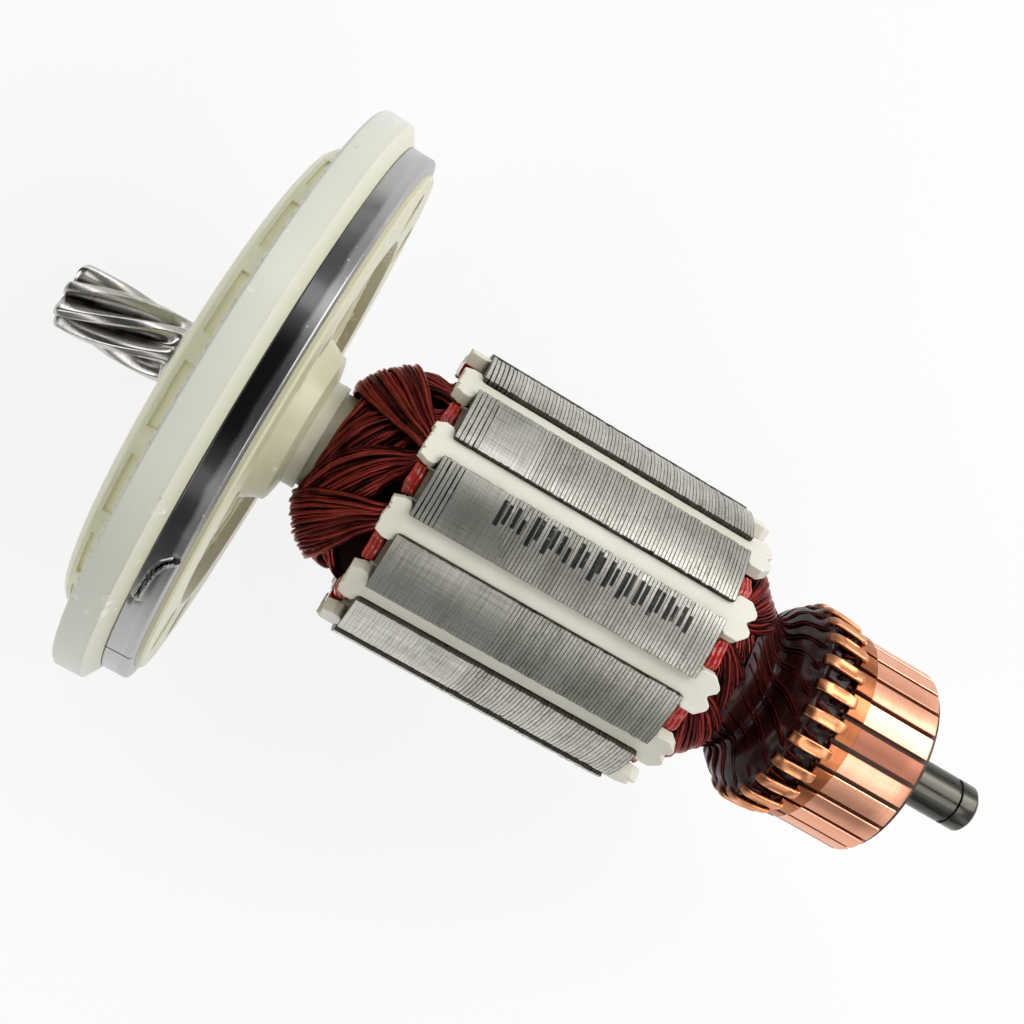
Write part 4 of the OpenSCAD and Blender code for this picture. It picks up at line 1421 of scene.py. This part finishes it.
@dataclass
class ToothedShaft:
    """The shaft with its helical pinion, bearing seat, journal and clip groove."""

    teeth: int = 7
    crest: float = 4.6
    root: float = 2.6
    lead: float = 63.0
    phase: float = -4.0
    length: float = 15.0
    runout: float = 4.4
    around: int = 252
    start: float = field(default_factory=lambda: Span.of("shaft").start)
    end: float = field(default_factory=lambda: Span.of("shaft").end)

    def depth_share(self, d: float) -> float:
        """Depth of the grooves at a distance from the tip, where the cutter swings out of them."""
        left = self.length - d
        if left >= self.runout:
            return 1.0
        return math.sqrt(max(0.0, 1 - (1 - left / self.runout) ** 2))

    def radius(self, d: float, turn: float) -> tuple[float, float]:
        """The pinion's surface.

        Args:
            d: Distance from the tip.
            turn: Angle from the middle of a tooth, in degrees.

        Returns:
            Radius, and depth below the crest as a share of the groove's depth.
        """
        wave = (1 + math.cos(math.radians(turn * self.teeth))) / 2
        form = min(1.0, 1.10 * wave ** 0.72)
        form = form - 0.05 * (1 - form) * math.sin(math.radians(turn * self.teeth))
        deep = (self.crest - self.root) * self.depth_share(d)
        round_off = 0.55 * max(0.0, 1 - d / 0.7) ** 2
        crown = 0.07 * (1 - wave) if form >= 0.999 else 0.0
        r = self.crest - deep * (1 - form) - round_off - crown
        return min(r, self.crest - round_off), (1 - form) * self.depth_share(d)

    def build(self, steel: bpy.types.Material) -> None:
        """Makes the shaft.

        Args:
            steel: Its finish.
        """
        shape = Shape(seed=11)
        rings = []
        stations = [0.0, 0.05, 0.14, 0.28, 0.45, 0.7]
        stations += [0.7 + (self.length - 0.7) * k / 64 for k in range(1, 65)]
        for d in stations:
            ring = []
            tones = []
            for k in range(self.around):
                turn = 360 * k / self.around
                r, depth = self.radius(d, turn)
                ring.append(spot(self.start + d, r, self.phase + turn - 360 * d / self.lead))
                tones.append(depth)
            first = len(shape.points)
            rings.append(shape.ring(ring))
            shape.tones[first:] = tones
        shape.skin(rings)
        shape.tone = 0.35
        x_run = self.start + self.length - 0.05
        x_end = self.end
        shape.lathe([
            (x_run, 0.01), (x_run, 4.6), (-4.5, 4.7), (-4.5, 4.8), (-4.3, 5.0), (4.5, 5.0), (4.5, 5.25),
            (14.65, 5.25), (14.65, 5.5), (84.4, 5.5), (84.4, 4.5), (107.4, 4.5), (107.4, 0.01)], 96)
        groove = x_end - 3.1
        journal = [
            (107.35, 0.01), (107.35, 3.44), (107.42, 3.5), (groove - 0.66, 3.5), (groove - 0.6, 3.44),
            (groove - 0.58, 3.2), (groove - 0.02, 3.2), (groove, 3.44), (groove + 0.06, 3.5),
            (x_end - 0.75, 3.5), (x_end - 0.55, 3.42), (x_end - 0.12, 2.95), (x_end, 2.8), (x_end, 0.01)]
        shape.tone = 0.2
        shape.lathe(journal, 128)
        seat(shape.piece("toothed_shaft", steel, smooth=38), "shaft_steel", "shaft")


# ---- Balance ring ------------------------------------------------------------------------


@dataclass
class BalanceRing:
    """Rolled ring with its butt joint and a lanced tab that holds it on the fan."""

    outer: float = 38.1
    inner: float = 36.3
    seam: float = 63.0
    gap: float = 0.28
    start: float = field(default_factory=lambda: Span.of("balance_ring").start)
    end: float = field(default_factory=lambda: Span.of("balance_ring").end)
    # Course of the lanced slit as (distance from the ring's edge, angle)
    slit: tuple[tuple[float, float], ...] = (
        (0.85, 44.2), (0.95, 41.0), (1.2, 37.6), (1.75, 35.4), (2.6, 34.0))
    notch: tuple[float, float] = (2.85, 33.6)
    notch_radius: float = 0.38
    cut_half: float = 0.13
    cut_depth: float = 0.9
    # Angles between which the outer face is worked, with a finer mesh
    worked: tuple[float, float] = (29.0, 50.0)

    def away(self, x: float, angle: float) -> tuple[float, float]:
        """Distance from the slit, and which side of it a place lies on.

        Args:
            x: Distance from the ring's edge.
            angle: Angle in degrees.

        Returns:
            Distance in millimetres and +1 on the tab's side.
        """
        scale = math.radians(self.outer)
        best, side = 99.0, 1.0
        for (x0, a0), (x1, a1) in zip(self.slit, self.slit[1:]):
            dx, ds = x1 - x0, (a1 - a0) * scale
            px, ps = x - x0, (angle - a0) * scale
            t = max(0.0, min(1.0, (px * dx + ps * ds) / (dx * dx + ds * ds)))
            d = math.hypot(px - dx * t, ps - ds * t)
            if d < best:
                best, side = d, math.copysign(1.0, ps * dx - px * ds)
        return best, side

    def press(self, x: float, r: float, angle: float) -> tuple[float, float]:
        """Cuts the slit and the notch into the outer face and raises their lips."""
        if r < self.outer - 0.25 or not self.worked[0] < angle < self.worked[1]:
            return x, r
        place = x - self.start
        d, side = self.away(place, angle)
        notch = math.hypot(place - self.notch[0], (angle - self.notch[1]) * math.radians(self.outer))
        if d < self.cut_half or notch < self.notch_radius:
            return x, r - self.cut_depth
        lip = 0.17 * math.exp(-((d - 0.30) / 0.17) ** 2)
        dish = -0.26 * math.exp(-(d / 1.1) ** 2) if side < 0 else -0.10 * math.exp(-(d / 0.7) ** 2)
        return x, r + lip + dish

    def build(self, steel: bpy.types.Material) -> None:
        """Makes the ring.

        Args:
            steel: Its finish.
        """
        shape = Shape(seed=13)
        x0, x1 = self.start, self.end
        across = [(x0 + 0.14 + (x1 - x0 - 0.5) * k / 24, self.outer) for k in range(25)]
        outline = [(x0, self.inner), (x0, self.outer - 0.14), *across, (x1 - 0.22, self.outer - 0.06),
                   (x1 - 0.08, self.outer - 0.2), (x1, self.outer - 0.38), (x1, self.inner)]
        half = math.degrees(self.gap / 2 / self.outer)
        low, high = self.worked
        shape.lathe(outline, 150, self.seam + half - 360, 360 + low - self.seam - half)
        shape.lathe(outline, 150, low, high - low, self.press)
        shape.lathe(outline, 24, high, self.seam - half - high)
        seat(shape.piece("steel_ring", steel, smooth=50), "ring_steel", "balance_ring")


# ---- Stage -------------------------------------------------------------------------------


@dataclass
class Studio:
    """Pale floor, soft light and the camera."""

    floor_drop: float = 41.0
    floor_size: float = 3000.0
    aim: Vector = Vector((40.0, 0.0, 0.0))
    lens: float = 47.99
    place: Vector = Vector((20.36, -12.73, 181.09))
    tilt: Vector = Vector((2.174, -12.213, 29.79))
    shift: tuple[float, float] = (-0.08, -0.025)

    def floor(self) -> None:
        """A wide flat pale floor, with its own glow for the camera."""
        s = Shader("floor")
        s.set(Base_Color=(0.93, 0.93, 0.92), Roughness=0.9)
        seen = s.add("ShaderNodeLightPath", output="Is Camera Ray")
        glow = s.add("ShaderNodeEmission", {}, {"Color": (1.0, 1.0, 0.995), "Strength": 1.0})
        gloss = s.add("ShaderNodeLightPath", output="Is Glossy Ray")
        blend = s.add("ShaderNodeMixShader", {},
                      {0: seen.high(gloss) * 0.8, 1: Wire(s, s.surface.outputs[0]), 2: glow})
        s.tree.links.new(blend.socket, s.output.inputs["Surface"])
        shape = Shape()
        size = self.floor_size
        ring = shape.ring(Vector((x, y, -self.floor_drop)) * MM
                          for x, y in ((-size, -size), (size, -size), (size, size), (-size, size)))
        shape.faces.append(tuple(ring))
        floor = shape.piece("floor", s.material, smooth=0)

    def light(self) -> None:
        """A studio sky, darker overhead than at its sides, and soft lamps."""
        s = Shader("studio", world=True)
        aim = s.add("ShaderNodeTexCoord", output="Generated")
        ahead, side, rise = s.split(aim)
        wide = side.unary("ABSOLUTE")
        boxes = wide.ramp(0.30, 0.60) * (wide.ramp(0.86, 0.70) * 0.30 + 0.72) * rise.ramp(0.0, 0.12)
        ends = ahead.ramp(0.35, 0.75) * rise.ramp(0.05, 0.3)
        strip = wide.near(0.62, 0.06, 0.03) * rise.ramp(0.0, 0.12)
        level = (boxes * 0.74 + strip * 1.3) * (side * 0.52 + 0.74) + ends * 0.5 + 0.06
        seen = s.add("ShaderNodeLightPath", output="Is Camera Ray")
        s.set(Color=(1.0, 1.0, 1.0), Strength=level * (1 - seen) + seen * 0.95)
        bpy.context.scene.world = s.material
        for name, place, size, power in (
                ("key", (380, 230, 340), 420, 1.3), ("fill", (-260, -260, 330), 300, 0.4),
                ("top", (300, -150, 420), 240, 0.4)):
            lamp = bpy.data.lights.new(name, "AREA")
            lamp.shape = "DISK"
            lamp.size = size * MM
            lamp.energy = power
            holder = bpy.data.objects.new(name, lamp)
            holder.location = Vector(place) * MM
            aim = self.aim * MM - holder.location
            holder.rotation_euler = aim.to_track_quat("-Z", "Y").to_euler()
            bpy.context.scene.collection.objects.link(holder)

    def camera(self) -> None:
        """The camera, almost straight above the shaft."""
        data = bpy.data.cameras.new("camera")
        data.lens = self.lens
        data.sensor_width = 36.0
        data.shift_x, data.shift_y = self.shift
        data.clip_start = 0.01
        holder = bpy.data.objects.new("camera", data)
        holder.location = self.place * MM
        holder.rotation_euler = Euler([math.radians(a) for a in self.tilt], "XYZ")
        bpy.context.scene.collection.objects.link(holder)
        bpy.context.scene.camera = holder

    def build(self) -> None:
        """Sets the stage."""
        self.floor()
        self.light()
        self.camera()
        bpy.context.scene.view_settings.view_transform = "Standard"


def main() -> None:
    """Builds the sub-assemblies in order."""
    logging.basicConfig(level=logging.INFO, format="%(name)s: %(message)s")
    Studio().build()
    white = Moulding("white_moulding", (0.80, 0.78, 0.68), (0.74, 0.72, 0.60)).material()
    dress("end_plates", Moulding("end_plate_board", (0.26, 0.21, 0.15), (0.13, 0.09, 0.06)).material())
    dress("slot_liners", Moulding("liner_film", (0.66, 0.65, 0.60), (0.55, 0.54, 0.5)).material())
    varnish = Gloss("red_varnish", (0.50, 0.016, 0.008), (0.10, 0.005, 0.003), 0.10, coat=0.7)
    Saddles().build(varnish.material())
    cream = FanPlastic(rim_start=Span.of("fan").start + 3.6).material()
    soften(dress("fan", cream), 0.25)
    dress("shaft_sleeve", Moulding("sleeve_plastic", (0.72, 0.70, 0.58), (0.60, 0.56, 0.40), 0.3).material())
    brown = Moulding("brown_moulding", (0.06, 0.025, 0.015), (0.03, 0.015, 0.01))
    dress("commutator_moulding", brown.material())
    enamel = Enamel().material()
    commutator = HookedCommutator()
    commutator.build(BarCopper(commutator.riser_start, commutator.track_start).material())
    SoakedNeck().build(Gloss("dark_resin", (0.016, 0.004, 0.003), (0.05, 0.006, 0.004), 0.26, 0.0,
                            coat=0.12, shine=0.12).material())
    HookLeads().build(Enamel("soaked_enamel", (0.08, 0.008, 0.006), (0.012, 0.002, 0.002)).material())
    ToothedShaft().build(TurnedSteel().material())
    BalanceRing().build(RingSteel(Span.of("balance_ring").start).material())
    core = SheetCore()
    core.build(CoreSteel(ink_start=core.front.start + 8.4).material())
    SlotWedges().build(white)
    # Near-black finish of painted shade for the depth between the wires.
    dark = Moulding("painted_shade_body", (0.008, 0.002, 0.002), (0.015, 0.003, 0.002), 0.9, shine=0.05).material()
    Winding().build(enamel, dark)


if __name__ == "__main__":
    main()
